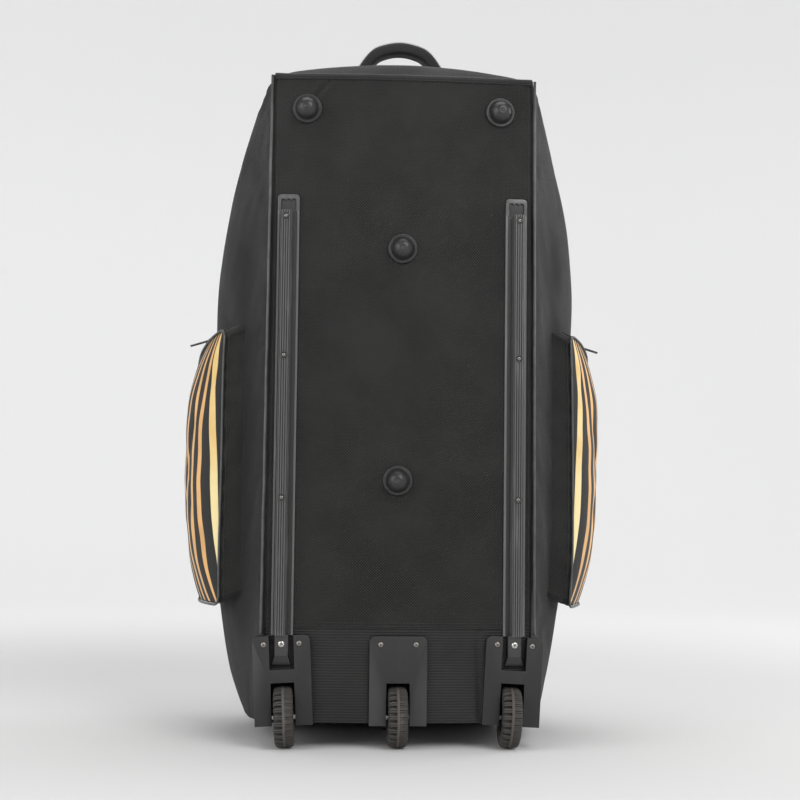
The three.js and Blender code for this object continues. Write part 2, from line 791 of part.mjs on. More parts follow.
const RIBS = [-0.86, -0.5, -0.14, 0.14, 0.5, 0.86];
function railGeometry() {
  const half = flangeWidth / 2;
  const corner = half / 3;
  const flange = new THREE.Shape();
  flange.moveTo(-half, railFoot);
  flange.lineTo(half, railFoot);
  flange.lineTo(half, railTop - corner);
  flange.absarc(half - corner, railTop - corner, corner, 0, Math.PI / 2);
  flange.absarc(corner - half, railTop - corner, corner, Math.PI / 2, Math.PI);
  const scallop = ribWidth / 6;
  const windowTop = railTop - corner * 2;
  const windowFoot = ribTop + scallop * 2;
  const endWindow = new THREE.Path();
  endWindow.moveTo(-3 * scallop, windowTop);
  endWindow.lineTo(-3 * scallop, windowFoot);
  for (const k of [-2, 0, 2]) endWindow.absarc(k * scallop, windowFoot, scallop, Math.PI, 2 * Math.PI);
  endWindow.lineTo(3 * scallop, windowTop);
  flange.holes.push(endWindow);
  const plate = extruded(flange, flangeWall).rotateX(Math.PI / 2);

  const ribHalf = ribWidth / 2;
  const grooves = RIBS.slice(1).map((share, i) => ({ from: RIBS[i] * ribHalf, to: share * ribHalf, low: i % 2 }));
  const top = grooves.flatMap(({ from, to, low }) => {
    const y = -railRise + (low ? grooveDepth : 0);
    return [[from, y], [to, y]];
  });
  const ribs = outlineOf([
    [-ribHalf, -flangeWall / 2],
    [-ribHalf, -railRise + 2 * grooveDepth],
    ...top,
    [ribHalf, -railRise + 2 * grooveDepth],
    [ribHalf, -flangeWall / 2],
  ]);
  const beam = extruded(ribs, ribTop - bracketTop - seamGap).translate(0, 0, bracketTop + seamGap);

  const foot = railFoot + seamGap;
  const tongue = outlineOf([
    [-flangeWidth * 0.44, foot],
    [-flangeWidth * 0.18, foot + 3],
    [flangeWidth * 0.18, foot + 3],
    [flangeWidth * 0.44, foot],
    [tongueWidth / 2, foot + 14],
    [tongueWidth / 2, bracketTop + past / 4],
    [-tongueWidth / 2, bracketTop + past / 4],
    [-tongueWidth / 2, foot + 14],
  ]);
  return joined(plate, beam, extruded(tongue, tongueRise).rotateX(Math.PI / 2));
}

for (const { name, way } of SIDES) {
  const x = (way * railSpacing) / 2;
  const seat = placed(x, baseFace(x, heelHeight) - seatGap, 0);
  seat.rotation.z = way * facetSlope;
  piece(`runner_${name}`, railGeometry(), railPlastic, seat);
  RAIL_SCREWS.forEach(({ up }, i) => {
    const head = piece(`runner_screw_${name}_${i + 1}`, screwHead(screwRadius), steel, seat);
    head.position.set(0, -railRise - seatGap, up * railTop);
  });
  const head = piece(`runner_foot_screw_${name}`, screwHead(tongueScrewRadius), steel, seat);
  head.position.set(0, -tongueRise - seatGap, screwHeight);
}

// Zip pulls

// A slider on its zip: +Z stands out of the zip and the tab points along -Y.
function sliderGeometry() {
  const post = sliderWidth / 2 - tabWidth / 2 - runningGap;
  const bar = new THREE.CylinderGeometry(barRadius, barRadius, sliderWidth - post, 8).rotateZ(Math.PI / 2);
  const posts = [-1, 1].map((way) =>
    boxOf(post, 3 * barRadius, barRise + barRadius - seatGap, (way * (sliderWidth - post)) / 2, 0,
      (barRise + barRadius + seatGap) / 2),
  );
  const plate = boxOf(sliderWidth, sliderLength, sliderWall - seatGap, 0, 0, (sliderWall + seatGap) / 2);
  return joined(plate, ...posts, bar.translate(0, 0, barRise));
}

// A tab whose curled end goes round the slider's bar; its pivot is at its origin.
function tabGeometry() {
  const curl = barRadius + runningGap + 0.9;
  const outline = new THREE.Shape();
  const half = Math.asin(tabWall / 2 / curl);
  outline.absarc(0, 0, curl, Math.PI + half, 3 * Math.PI - half);
  outline.lineTo(-tabLength, tabWall / 2);
  outline.lineTo(-tabLength, -tabWall / 2);
  outline.holes.push(new THREE.Path().absarc(0, 0, barRadius + runningGap, 0, 2 * Math.PI, true));
  return extruded(outline, tabWidth)
    .translate(0, 0, -tabWidth / 2)
    .applyMatrix4(new THREE.Matrix4().makeBasis(
      new THREE.Vector3(0, 1, 0),
      new THREE.Vector3(0, 0, 1),
      new THREE.Vector3(1, 0, 0),
    ));
}

// Sets a slider and its tab on a surface that faces out, with the tab pointing along hang.
function zipPull(name, at, out, hang) {
  const seat = placed(at.x, at.y, at.z);
  const z = out.clone().normalize();
  const x = hang.clone().negate().cross(z).normalize();
  const y = z.clone().cross(x);
  seat.quaternion.setFromRotationMatrix(new THREE.Matrix4().makeBasis(x, y, z));
  piece(`${name}_slider`, sliderGeometry(), darkMetal, seat);
  piece(`${name}_tab`, tabGeometry(), darkMetal, seat).position.z = barRise;
}

const crossMiddle = (1 + zipCross) / 2;
const onCross = skin(0, crossMiddle);
const downLid = skin(0, crossMiddle - 0.03).sub(onCross);
zipPull("main_zip", onCross, new THREE.Vector3(1, 0, 0).cross(downLid), downLid);

// Side pockets

// The bag's side at a depth and a height, on the left (-1) or the right (1): how far out it lies.
function sideAt(way, depth, z) {
  const upAt = (round) => {
    const { z: back } = halfSection.getPoint(1 - round);
    return clamp((z - lowerRim(back)) / (upperRim(back) - lowerRim(back)), 0, 1);
  };
  let [low, high] = [zipInner, 1];
  for (let i = 0; i < 24; i += 1) {
    const middle = (low + high) / 2;
    if (skin(way * middle, upAt(middle)).y > depth) low = middle;
    else high = middle;
  }
  return Math.abs(skin(way * high, upAt(high)).x);
}

// A pocket's outline in depth and height, drawn in by inset: for each corner its round and then the
// straight to the next corner. A row of POCKET_CORNERS says into how many steps each is cut.
function pocketOutline(inset) {
  const deep = pocketBack - pocketFront;
  const corners = POCKET_CORNERS.map(({ back, up, dip, round }) => ({
    at: new THREE.Vector2(
      pocketFront + back * deep + (back ? -inset : inset),
      pocketFoot + up * pocketHeight - dip * pocketSlope + (up ? -inset : inset),
    ),
    round: round * deep,
  }));
  const towards = (from, to, length) => from.clone().add(to.clone().sub(from).setLength(length));
  const bends = corners.map(({ at, round }, i) => {
    const before = corners[(i + corners.length - 1) % corners.length].at;
    const after = corners[(i + 1) % corners.length].at;
    return new THREE.QuadraticBezierCurve(towards(at, before, round), at, towards(at, after, round));
  });
  return bends.flatMap((bend, i) => {
    const { roundSteps, sideSteps } = POCKET_CORNERS[i];
    const next = bends[(i + 1) % bends.length].v0;
    const straight = steps(0, 1, sideSteps).slice(1, -1).map((share) => bend.v2.clone().lerp(next, share));
    return [...bend.getPoints(roundSteps), ...straight];
  });
}

// A gusset starts inside the bag's side, and what the side and the seat's gap take up is cut away.
const pocketRoot = 6;
function sideBlock(way) {
  const us = sideColumns.map((round) => way * round);
  const point = (round, up, face) => skin(round, up, face ? 3 * pocketRoot : -pocketSeat);
  return sheetSolid({ us, vs: shellRows, point });
}

const [outerLoop, innerLoop] = [0, clothWall].map(pocketOutline);
const stations = outerLoop.length;

// A place on a loop at a whole or broken number of stations, and its direction there.
function onLoop(loop, station) {
  const i = Math.floor(station);
  return loop[i % stations].clone().lerp(loop[(i + 1) % stations], station - i);
}
const loopWay = (i) =>
  outerLoop[(i + 1) % stations].clone().sub(outerLoop[(i + stations - 1) % stations]).normalize();
const stationAfter = (corners) =>
  POCKET_CORNERS.slice(0, corners).reduce((sum, { roundSteps, sideSteps }) => sum + roundSteps + sideSteps, 0);

// The pocket's zip runs from above its lower back corner to behind its upper front corner.
const zipFrom = stationAfter(1) + POCKET_CORNERS[1].roundSteps;
const zipTo = stationAfter(3);
const sliderAt = zipTo - 0.9;
const gapAt = (station) => halfGap / onLoop(outerLoop, station).distanceTo(onLoop(outerLoop, station + 1));
const zipStations = [zipFrom + gapAt(zipFrom), ...range(zipTo - zipFrom - 1).map((i) => zipFrom + 1 + i),
  zipTo - gapAt(zipTo - 1)];
const gussetStations = range(stations).map((i) => {
  if (i === zipFrom) return i - gapAt(i - 1);
  return i === zipTo ? i + gapAt(i) : i;
});
const zipShare = pocketZipWidth / gussetFront;
const widthGap = halfGap / gussetFront;
const sliderOut = 1 - zipShare * 0.62;

// A pocket's surfaces as if it were on the right, from the bag's side where it really is.
function pocketForm(way) {
  // The gusset: a station round it, and a share of its height from the bag's side out.
  const gussetPoint = (station, out, face) => {
    const flat = onLoop(face ? innerLoop : outerLoop, station);
    const root = sideAt(way, flat.x - gussetTaper, flat.y + pocketSag);
    const back = (flat.x - pocketFront) / (pocketBack - pocketFront);
    const height = mix(gussetFront, gussetBack, back) - (gussetLoss * (flat.y - pocketFoot)) / pocketHeight;
    return new THREE.Vector3(
      root + mix(-pocketRoot, height, out),
      flat.x - gussetTaper * (1 - out),
      flat.y + pocketSag * (1 - out),
    );
  };
  const border = range(stations).map((station) => gussetPoint(station, 1, 0));
  const middle = new THREE.Box3().setFromPoints(border).getCenter(new THREE.Vector3());
  const panelPoint = (k, r, face) => {
    const point = middle.clone().lerp(border[k], r);
    const up = (2 * (point.z - pocketFoot)) / pocketHeight - 1;
    point.x += seamGap + clothWall * (1 - face) + pocketBulge * (1 - r ** 3) * (1 - pocketFlatter * up * up);
    return point;
  };
  const pipingStations = border.map((point, k) => {
    const tangent = loopWay(k);
    const out = new THREE.Vector3(0, tangent.y, -tangent.x);
    const at = point.clone().addScaledVector(out, pocketPiping + seatGap);
    at.x += seamGap + clothWall / 2;
    return { at, across: new THREE.Vector3(1, 0, 0), out };
  });
  return { gussetPoint, panelPoint, pipingStations };
}

// A shape turned over from the right side of the bag to the left.
function mirrored(geometry) {
  const { array } = geometry.getAttribute("position");
  const points = [];
  for (let i = 0; i < array.length; i += 3) points.push(new THREE.Vector3(-array[i], array[i + 1], array[i + 2]));
  return facingOut(points, [...geometry.getIndex().array]);
}

for (const { name, way } of SIDES) {
  const { gussetPoint, panelPoint, pipingStations } = pocketForm(way);
  const handed = (geometry) => (way < 0 ? mirrored(geometry) : geometry);
  const gusset = sheetSolid({
    us: gussetStations,
    vs: [0, (1 - zipShare) / 2, 1 - zipShare - widthGap, 1],
    point: gussetPoint,
    holds: (column, row) => row < 2 || column < zipFrom || column >= zipTo,
    loop: true,
  });
  const zip = sheetSolid({
    us: zipStations,
    vs: [1 - zipShare + widthGap, 1],
    point: gussetPoint,
  });
  const panel = discSolid({ count: stations, radii: [1, 0.9, 0.72, 0.42], point: panelPoint });
  piece(`pocket_gusset_${name}`, without(handed(gusset), sideBlock(way)), baseCloth);
  piece(`pocket_panel_${name}`, handed(panel), stripedCloth);
  piece(`pocket_piping_${name}`, handed(hoopSolid(pipingStations, pocketPiping, 6)), pipingCord);
  piece(`pocket_zip_${name}`, handed(zip), zipCloth);

  const onZip = gussetPoint(sliderAt, sliderOut, 0);
  const over = gussetPoint(sliderAt, 1, 0).sub(onZip);
  const along = gussetPoint(sliderAt + 0.05, sliderOut, 0).sub(onZip);
  const out = along.cross(over);
  const hand = new THREE.Vector3(way, 1, 1);
  zipPull(`pocket_${name}`, onZip.multiply(hand), out.multiply(hand), over.multiply(hand));
}

// Handle

// The top panel's height under a place, and which way it faces there.
const look = new THREE.Raycaster();
topPanel.updateMatrixWorld(true);
function topAt(x, y) {
  look.set(new THREE.Vector3(x, y, seamHeight + 10 * topCrown), new THREE.Vector3(0, 0, -1));
  const [hit] = look.intersectObject(topPanel);
  return { height: hit.point.z, facing: hit.face.normal.clone() };
}

const footDrop = 0.5;
const footings = SIDES.map(({ name, way }) => {
  const x = (way * handleSpan) / 2;
  const { height, facing } = topAt(x, handleDepth);
  const seat = placed(x, handleDepth, height + footDrop);
  seat.quaternion.setFromUnitVectors(new THREE.Vector3(0, 0, 1), facing);
  const patch = boxOf(patchLength, handleWidth + 6, patchWall, 0, 0, patchWall / 2);
  piece(`handle_patch_${name}`, patch, webbing, seat);
  return height;
});
const footing = Math.max(...footings) + 2 * footDrop + patchWall;

const HANDLE_ARCH = [
  { across: -1, up: 0 },
  { across: -1, up: 0.36 },
  { across: -0.86, up: 0.72 },
  { across: -0.48, up: 0.95 },
  { across: 0, up: 1 },
  { across: 0.48, up: 0.95 },
  { across: 0.86, up: 0.72 },
  { across: 1, up: 0.36 },
  { across: 1, up: 0 },
];
const arch = new THREE.CatmullRomCurve3(
  HANDLE_ARCH.map(({ across, up }) =>
    new THREE.Vector3((across * handleSpan) / 2, handleDepth, footing + up * handleRise)),
);
const gripSection = outlineOf([
  [-0.5, -0.28], [-0.32, -0.5], [0.32, -0.5], [0.5, -0.28],
  [0.5, 0.28], [0.32, 0.5], [-0.32, 0.5], [-0.5, 0.28],
].map(([thick, deep]) => [deep * handleWidth, thick * handleWall]));
const grip = new THREE.ExtrudeGeometry(gripSection, { steps: 14, extrudePath: arch });
piece("top_handle", grip, webbing);

// The whole bag, moved so that its origin is under the middle of its box

bag.updateMatrixWorld(true);
const extent = new THREE.Box3().setFromObject(bag, true);
const middle = extent.getCenter(new THREE.Vector3());
bag.position.set(-middle.x, -middle.y, -extent.min.z);

export default bag;
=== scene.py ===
"""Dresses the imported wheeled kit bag: cloth shell, runners, brackets, wheels, pockets and handle."""

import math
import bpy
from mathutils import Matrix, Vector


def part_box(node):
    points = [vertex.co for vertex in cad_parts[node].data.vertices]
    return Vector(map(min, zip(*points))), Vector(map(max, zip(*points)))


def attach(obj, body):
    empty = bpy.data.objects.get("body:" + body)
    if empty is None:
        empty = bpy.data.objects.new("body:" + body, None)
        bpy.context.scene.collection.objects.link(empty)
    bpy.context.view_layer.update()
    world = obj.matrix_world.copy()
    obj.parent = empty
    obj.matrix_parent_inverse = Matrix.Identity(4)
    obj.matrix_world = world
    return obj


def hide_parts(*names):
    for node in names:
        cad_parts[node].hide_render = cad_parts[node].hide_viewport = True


bl_info = {
    "name": "Wheeled kit bag",
    "version": (1, 0, 0),
    "blender": (4, 5, 0),
    "location": "3D View > Sidebar > Kit bag",
    "description": "Dresses a packed wheeled kit bag in cloth, plastic, rubber and steel",
    "category": "Add Mesh",
}

from contextlib import contextmanager

import bmesh
import bpy
import numpy as np
from bpy.props import FloatProperty, FloatVectorProperty, IntProperty, PointerProperty
from mathutils import Matrix, Vector, noise

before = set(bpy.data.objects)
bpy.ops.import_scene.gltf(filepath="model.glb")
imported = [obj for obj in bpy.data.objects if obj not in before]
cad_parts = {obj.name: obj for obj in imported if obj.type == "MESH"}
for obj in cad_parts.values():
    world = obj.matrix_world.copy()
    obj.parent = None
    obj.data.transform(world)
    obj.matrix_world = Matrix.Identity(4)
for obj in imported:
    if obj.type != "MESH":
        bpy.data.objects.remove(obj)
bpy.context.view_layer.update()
BAG = "bag"
WAYS = (("left", -1), ("right", 1))
BRACKET_WAYS = (("left", -1), ("middle", 0), ("right", 1))
# Points nearer than this are one, and edges sharper than this many degrees look crisp.
SAME_PLACE = 1e-6
CRISP = 28


# Sizes and colours

def length(name, description, default):
    return FloatProperty(name=name, description=description, default=default, min=0, unit="LENGTH")


def tint(name, description, default):
    return FloatVectorProperty(
        name=name, description=description, default=default, size=3, min=0, max=1, subtype="COLOR")


class KitBagShellSizes(bpy.types.PropertyGroup):
    seam_height: length("Seam height", "Height of the base's top seam", 0.898)
    heel_height: length("Heel height", "Height of the base's lower edge", 0.033)
    kick_height: length("Kick height", "Height of the seam between base and kick panel", 0.157)
    base_width: length("Base width", "Width of the base at its foot", 0.36)
    base_top_width: length("Base top width", "Width of the base at its top seam", 0.352)
    bag_width: length("Bag width", "Width of the bag behind its base", 0.512)
    bag_depth: length("Bag depth", "Depth from the base's edges to the lid", 0.384)
    base_crown: length("Base crown", "How far the base stands out in the middle", 0.008)
    top_crown: length("Top crown", "How far the top end rises in the middle", 0.018)
    seam_roll: length("Seam roll", "How far the top swells behind the base's seam", 0.019)
    lid_drop: length("Lid drop", "How much lower the lid's top is than the base's", 0.02)
    heel_dip: length("Heel dip", "How much lower the sides hang than the base's foot", 0.009)
    rest_depth: length("Rest depth", "Depth at which the bottom end meets the floor", 0.236)
    cloth_wall: length("Cloth wall", "Thickness of the cloth", 0.0022)
    board_wall: length("Board wall", "Thickness of the boarded base", 0.005)
    piping_radius: length("Piping radius", "Radius of the base's piping", 0.0019)
    zip_width: length("Zip width", "Width of the main zip's tape", 0.034)
    settle_frames: IntProperty(
        name="Settling frames", description="Steps for which the cloth settles", default=16, min=1)
    buckle: FloatProperty(
        name="Buckle", description="Extra cloth between the seams, as a share", default=0.02,
        subtype="FACTOR")


class KitBagTrimSizes(bpy.types.PropertyGroup):
    rail_spacing: length("Rail spacing", "Distance between the runners", 0.307)
    rail_top: length("Rail top", "Height of the runners' tops", 0.734)
    rail_foot: length("Rail foot", "Height of the runners' tongues", 0.107)
    rail_width: length("Rail width", "Width of a runner", 0.029)
    rail_rise: length("Rail rise", "How far a runner's ribs stand out", 0.0145)
    rib_top: length("Rib top", "Height at which the ribs end", 0.711)
    rib_width: length("Rib width", "Width of the ribbed bar", 0.0142)
    stud_radius: length("Stud radius", "Radius of a stud's ring", 0.02)
    stud_rise: length("Stud rise", "How far a stud stands out", 0.019)
    stud_spacing: length("Stud spacing", "Distance between the two top studs", 0.267)
    wheel_radius: length("Wheel radius", "Radius of a wheel", 0.04)
    tyre_width: length("Tyre width", "Width of a tyre", 0.026)
    hub_radius: length("Hub radius", "Radius of a hub", 0.024)
    wheel_spacing: length("Wheel spacing", "Distance between the outer wheels", 0.299)
    bracket_top: length("Bracket top", "Height of the brackets' tops", 0.147)
    screw_radius: length("Screw radius", "Radius of a small screw head", 0.0032)
    screw_height: length("Screw height", "Height of the bracket screws", 0.136)
    lean: FloatProperty(
        name="Lean", description="How far the outer brackets lean", default=math.radians(2.8),
        subtype="ANGLE")
    stitch: length("Stitch", "Length of a stitch with its gap", 0.0034)


class KitBagPocketSizes(bpy.types.PropertyGroup):
    front: length("Front", "Depth at which the pockets start", 0.08)
    back: length("Back", "Depth at which the pockets end", 0.246)
    foot: length("Foot", "Height of the pockets' lower edge", 0.182)
    height: length("Height", "Height of the pockets", 0.378)
    slope: length("Slope", "How much lower the upper back corner is", 0.058)
    sag: length("Sag", "How far the outer edge hangs", 0.012)
    gusset_front: length("Gusset front", "Gusset's width at the front", 0.033)
    gusset_back: length("Gusset back", "Gusset's width at the back", 0.029)
    gusset_loss: length("Gusset loss", "How much narrower the gusset is at the top", 0.004)
    taper: length("Taper", "How far the gusset leans back", 0.006)
    bulge: length("Bulge", "How far the striped panel stands out", 0.0305)
    flatter: FloatProperty(
        name="Flatter", description="How much less it stands out at its ends", default=0.2, subtype="FACTOR")
    piping: length("Piping", "Radius of the pockets' piping", 0.0017)
    zip_width: length("Zip width", "Width of the pockets' zip", 0.022)


class KitBagHandleSizes(bpy.types.PropertyGroup):
    wall: length("Wall", "Thickness of the padded handle", 0.0172)
    lift: length("Lift", "How far the padding raises the handle's arch", 0.005)


class KitBagColours(bpy.types.PropertyGroup):
    cloth: tint("Cloth", "Plain cloth", (0.0105, 0.0106, 0.0104))
    weave: tint("Weave", "Diamond weave", (0.0215, 0.0216, 0.0206))
    kick: tint("Kick", "Coated cloth at the foot", (0.0125, 0.0124, 0.0122))
    gold: tint("Gold", "Wide stripe", (0.74, 0.47, 0.14))
    # The pale gold is a painted highlight, the wide stripe's sheen.
    painted_gold_sheen: tint("Pale gold", "Wide stripe's sheen", (0.93, 0.80, 0.42))
    tan: tint("Tan", "Narrow stripes", (0.66, 0.36, 0.12))
    plastic: tint("Plastic", "Moulded plastic", (0.0215, 0.0215, 0.0215))
    # The piping colour is the pale grey of a painted highlight, the glint on black vinyl.
    piping: tint("Piping", "Base piping", (0.075, 0.075, 0.077))
    rubber: tint("Rubber", "Tyre rubber", (0.040, 0.037, 0.034))
    dust: tint("Dust", "Dust on the tread", (0.12, 0.105, 0.09))


class KitBagStageSizes(bpy.types.PropertyGroup):
    distance: length("Distance", "Camera's distance from the base", 2.1)
    height: length("Height", "Camera's height", 0.32)
    aim_height: length("Aim height", "Height of the point in the middle of the view", 0.46)
    aim_across: FloatProperty(
        name="Aim across", description="Place across of that point", default=-0.001, unit="LENGTH")
    azimuth: FloatProperty(
        name="Azimuth", description="Camera's turn to the left", default=math.radians(3.4), subtype="ANGLE")
    roll: FloatProperty(
        name="Roll", description="Camera's roll", default=math.radians(0.65), subtype="ANGLE")
    lens: FloatProperty(name="Lens", description="Focal length in millimetres", default=70.6, min=1)
    backdrop: tint("Backdrop", "Floor and backdrop", (0.66, 0.66, 0.66))


GROUPS = {
    "shell": KitBagShellSizes,
    "trim": KitBagTrimSizes,
    "pocket": KitBagPocketSizes,
    "handle": KitBagHandleSizes,
    "colours": KitBagColours,
    "stage": KitBagStageSizes,
}


class KitBagSettings(bpy.types.PropertyGroup):
    shell: PointerProperty(type=KitBagShellSizes, name="Shell", description="Sizes of the shell")
    trim: PointerProperty(type=KitBagTrimSizes, name="Trim", description="Sizes of the hard trim")
    pocket: PointerProperty(type=KitBagPocketSizes, name="Pockets", description="Sizes of the pockets")
    handle: PointerProperty(type=KitBagHandleSizes, name="Handle", description="Sizes of the handle")
    colours: PointerProperty(type=KitBagColours, name="Colours", description="Colours of the finishes")
    stage: PointerProperty(type=KitBagStageSizes, name="Stage", description="Camera and backdrop")


def settings():
    return bpy.context.scene.kit_bag


def origin():
    """The middle of the base's edges at floor level, from which the bag's shape is measured."""
    base_low, base_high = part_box("base_panel")
    side_low, side_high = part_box("side_panel_left")
    across = (base_low[0] + base_high[0]) / 2
    return np.array([across, side_low[1], side_high[2] - settings().shell.seam_height])


# The bag's form. Half of its cross section runs from the base's edge round to the lid's middle:
# shares of half the base's width, of half the bag's width, and of its depth.
HALF_SECTION = np.array([
    (1, 0, 0), (0.66, 0.34, 0.155), (0.3, 0.7, 0.29), (0.08, 0.92, 0.43), (0, 1, 0.57),
    (0, 0.985, 0.7), (0, 0.88, 0.85), (0, 0.62, 0.955), (0, 0.31, 0.992), (0, 0, 1),
])
ZIP_ROW = 5
# Shares of the bag's width and depth up its length.
GIRTH = np.array([
    (0, 0.805, 0.88), (0.072, 0.895, 0.94), (0.16, 0.95, 0.985), (0.3, 1, 1), (0.66, 1, 1),
    (0.735, 0.985, 0.985), (0.836, 0.93, 0.94), (0.91, 0.865, 0.88), (0.97, 0.8, 0.82), (1, 0.765, 0.79),
])
# Dents: side, height up, place round, how tall, how broad, and depth as a share of the bag's depth.
DENTS = (
    (-1, 0.86, 0.2, 0.07, 0.1, 0.012), (1, 0.83, 0.24, 0.08, 0.1, 0.012),
    (-1, 0.7, 0.12, 0.09, 0.07, 0.01), (1, 0.68, 0.13, 0.1, 0.07, 0.01),
    (-1, 0.09, 0.22, 0.06, 0.12, 0.014), (1, 0.1, 0.2, 0.06, 0.12, 0.012),
    (1, 0.6, 0.8, 0.1, 0.12, 0.018), (-1, 0.33, 0.84, 0.1, 0.12, 0.018),
    (1, 0.8, 0.32, 0.2, 0.2, -0.026), (-1, 0.37, 0.09, 0.22, 0.08, 0.013),
    (1, 0.12, 0.25, 0.08, 0.2, 0.012),
)
# The base's crown across half its width: place and share of the crown.
CROWN_ACROSS = (0, 0.245, 0.61, 1)
CROWN_SHARE = (1, 1, 0.66, 0)
# A pocket's corners seen from its side: back, up, dip and round as shares.
POCKET_CORNERS = ((0, 0, 0, 0.09), (1, 0, 0, 0.12), (1, 1, 1, 0.36), (0, 1, 0, 0.09))


def smooth_column(table, column, at):
    keys, values = table[:, 0], table[:, column]
    slopes = np.empty(len(keys))
    slopes[1:-1] = (values[2:] - values[:-2]) / (keys[2:] - keys[:-2])
    slopes[0] = (values[1] - values[0]) / (keys[1] - keys[0])
    slopes[-1] = (values[-1] - values[-2]) / (keys[-1] - keys[-2])
    i = np.clip(np.searchsorted(keys, at, side="right") - 1, 0, len(keys) - 2)
    width = keys[i + 1] - keys[i]
    t = np.clip((at - keys[i]) / width, 0, 1)
    return (values[i] * (2 * t ** 3 - 3 * t ** 2 + 1) + slopes[i] * width * (t ** 3 - 2 * t ** 2 + t)
            + values[i + 1] * (3 * t ** 2 - 2 * t ** 3) + slopes[i + 1] * width * (t ** 3 - t ** 2))


def through(points, per_span):
    """Points along a smooth curve through the given ones, evenly many on each span."""
    points = np.asarray(points, float)
    ends = np.vstack([2 * points[0] - points[1], points, 2 * points[-1] - points[-2]])
    out = []
    for p0, p1, p2, p3 in zip(ends, ends[1:], ends[2:], ends[3:]):
        d0, d1, d2 = (max(np.linalg.norm(b - a), 1e-8) ** 0.5 for a, b in ((p0, p1), (p1, p2), (p2, p3)))
        m1 = ((p1 - p0) / d0 - (p2 - p0) / (d0 + d1) + (p2 - p1) / d1) * d1
        m2 = ((p2 - p1) / d1 - (p3 - p1) / (d1 + d2) + (p3 - p2) / d2) * d1
        t = np.linspace(0, 1, per_span, endpoint=False)[:, None]
        out.append(p1 + m1 * t + (-3 * p1 + 3 * p2 - 2 * m1 - m2) * t ** 2
                   + (2 * p1 - 2 * p2 + m1 + m2) * t ** 3)
    out.append(points[-1:])
    return np.vstack(out)


SECTION_FINE = through(HALF_SECTION, 40)


def section(share):
    place = np.clip(share, 0, 1) * (len(SECTION_FINE) - 1)
    keys = np.arange(len(SECTION_FINE))
    return [np.interp(place, keys, SECTION_FINE[:, k]) for k in range(3)]


def base_half(z):
    s = settings().shell
    up = np.clip((z - s.heel_height) / (s.seam_height - s.heel_height), 0, 1)
    return (s.base_width + (s.base_top_width - s.base_width) * up) / 2


def lower_rim(back):
    s = settings().shell
    return s.heel_height - s.heel_dip * np.sin(np.pi * np.minimum(back, 0.8))


def upper_rim(back):
    s = settings().shell
    return s.seam_height - s.lid_drop * back * back


def skin(turn, up, inwards=0.0):
    """Points of the bag's skin: turn is -1 and 1 at the base's edges and 0 at the lid's middle."""
    s = settings().shell
    turn, up = np.broadcast_arrays(np.asarray(turn, float), np.asarray(up, float))
    way = np.where(turn < 0, -1.0, 1.0)
    u = 1 - np.abs(turn)
    wide = s.bag_width / 2 * smooth_column(GIRTH, 1, up)
    deep = s.bag_depth * smooth_column(GIRTH, 2, up)

    def at(share):
        base, broad, back = section(share)
        z = lower_rim(back) * (1 - up) + upper_rim(back) * up
        return base * base_half(z) + broad * wide, back * deep, z

    x, y, z = at(u)
    ahead, behind = at(u + 0.01), at(u - 0.01)
    along = np.stack([ahead[0] - behind[0], ahead[1] - behind[1]], -1)
    along /= np.linalg.norm(along, axis=-1, keepdims=True)
    dent = np.zeros_like(x)
    for side, height, place, tall, broad, deep_share in DENTS:
        shape = np.exp(-(((up - height) / tall) ** 2) - ((u - place) / broad) ** 2)
        dent += np.where(way == side, deep_share * s.bag_depth * shape, 0)
    x = (x - along[..., 1] * (inwards + dent)) * way
    y = y + along[..., 0] * (inwards + dent)
    return np.stack([x, y, z], -1)


def skin_line(turn, up, inwards):
    """A line on the bag's skin in the frame's place, and the way out at each of its points."""
    line = skin(turn, up, inwards) + origin()
    return line, line - (skin(turn, up, 0.004) + origin())


def base_face(x, z):
    share = np.clip(np.abs(x) / base_half(z), 0, 1)
    return -settings().shell.base_crown * np.interp(share, CROWN_ACROSS, CROWN_SHARE)


def turn_of(span):
    gap = skin([zip_turn() - 0.01, zip_turn() + 0.01], [0.5, 0.5])
    return 0.02 * span / np.linalg.norm(gap[1] - gap[0])


def zip_turn():
    return 1 - ZIP_ROW / (len(HALF_SECTION) - 1)


def up_of(span):
    s = settings().shell
    return span / (s.seam_height - s.heel_height)


def ripple(points, scale, seed):
    """Smooth noise at each point, from -1 to 1."""
    flat = np.asarray(points).reshape(-1, 3) * scale
    shift = Vector((seed * 7.31, seed * 3.77, seed * 5.13))
    return np.array([noise.noise(Vector(p) + shift) for p in flat]).reshape(np.shape(points)[:-1])


# Meshes

def piece(name, points, faces, material, corner_uvs=None, body=BAG, slot=None, replaces=(), soft=True):
    mesh = bpy.data.meshes.new(name)
    mesh.from_pydata([tuple(p) for p in np.asarray(points, float).reshape(-1, 3)], [],
                     [tuple(int(i) for i in f) for f in faces])
    if corner_uvs is not None:
        layer = mesh.uv_layers.new(name="cloth")
        layer.data.foreach_set("uv", np.asarray(corner_uvs, np.float32).ravel())
    mesh.validate()
    obj = bpy.data.objects.new(name, mesh)
    return kept(obj, material, body, slot, replaces, soft)


def kept(obj, material, body=BAG, slot=None, replaces=(), soft=True):
    """Links a new piece, gives it its material, tells the frame what it rides on and hides the CAD parts it
    replaces.
    """
    bpy.context.scene.collection.objects.link(obj)
    obj.data.materials.clear()
    obj.data.materials.append(material)
    smoothed(obj, soft)
    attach(obj, body)
    if replaces:
        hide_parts(*replaces)
    return obj


def smoothed(obj, soft=True):
    for polygon in obj.data.polygons:
        polygon.use_smooth = soft
    return obj


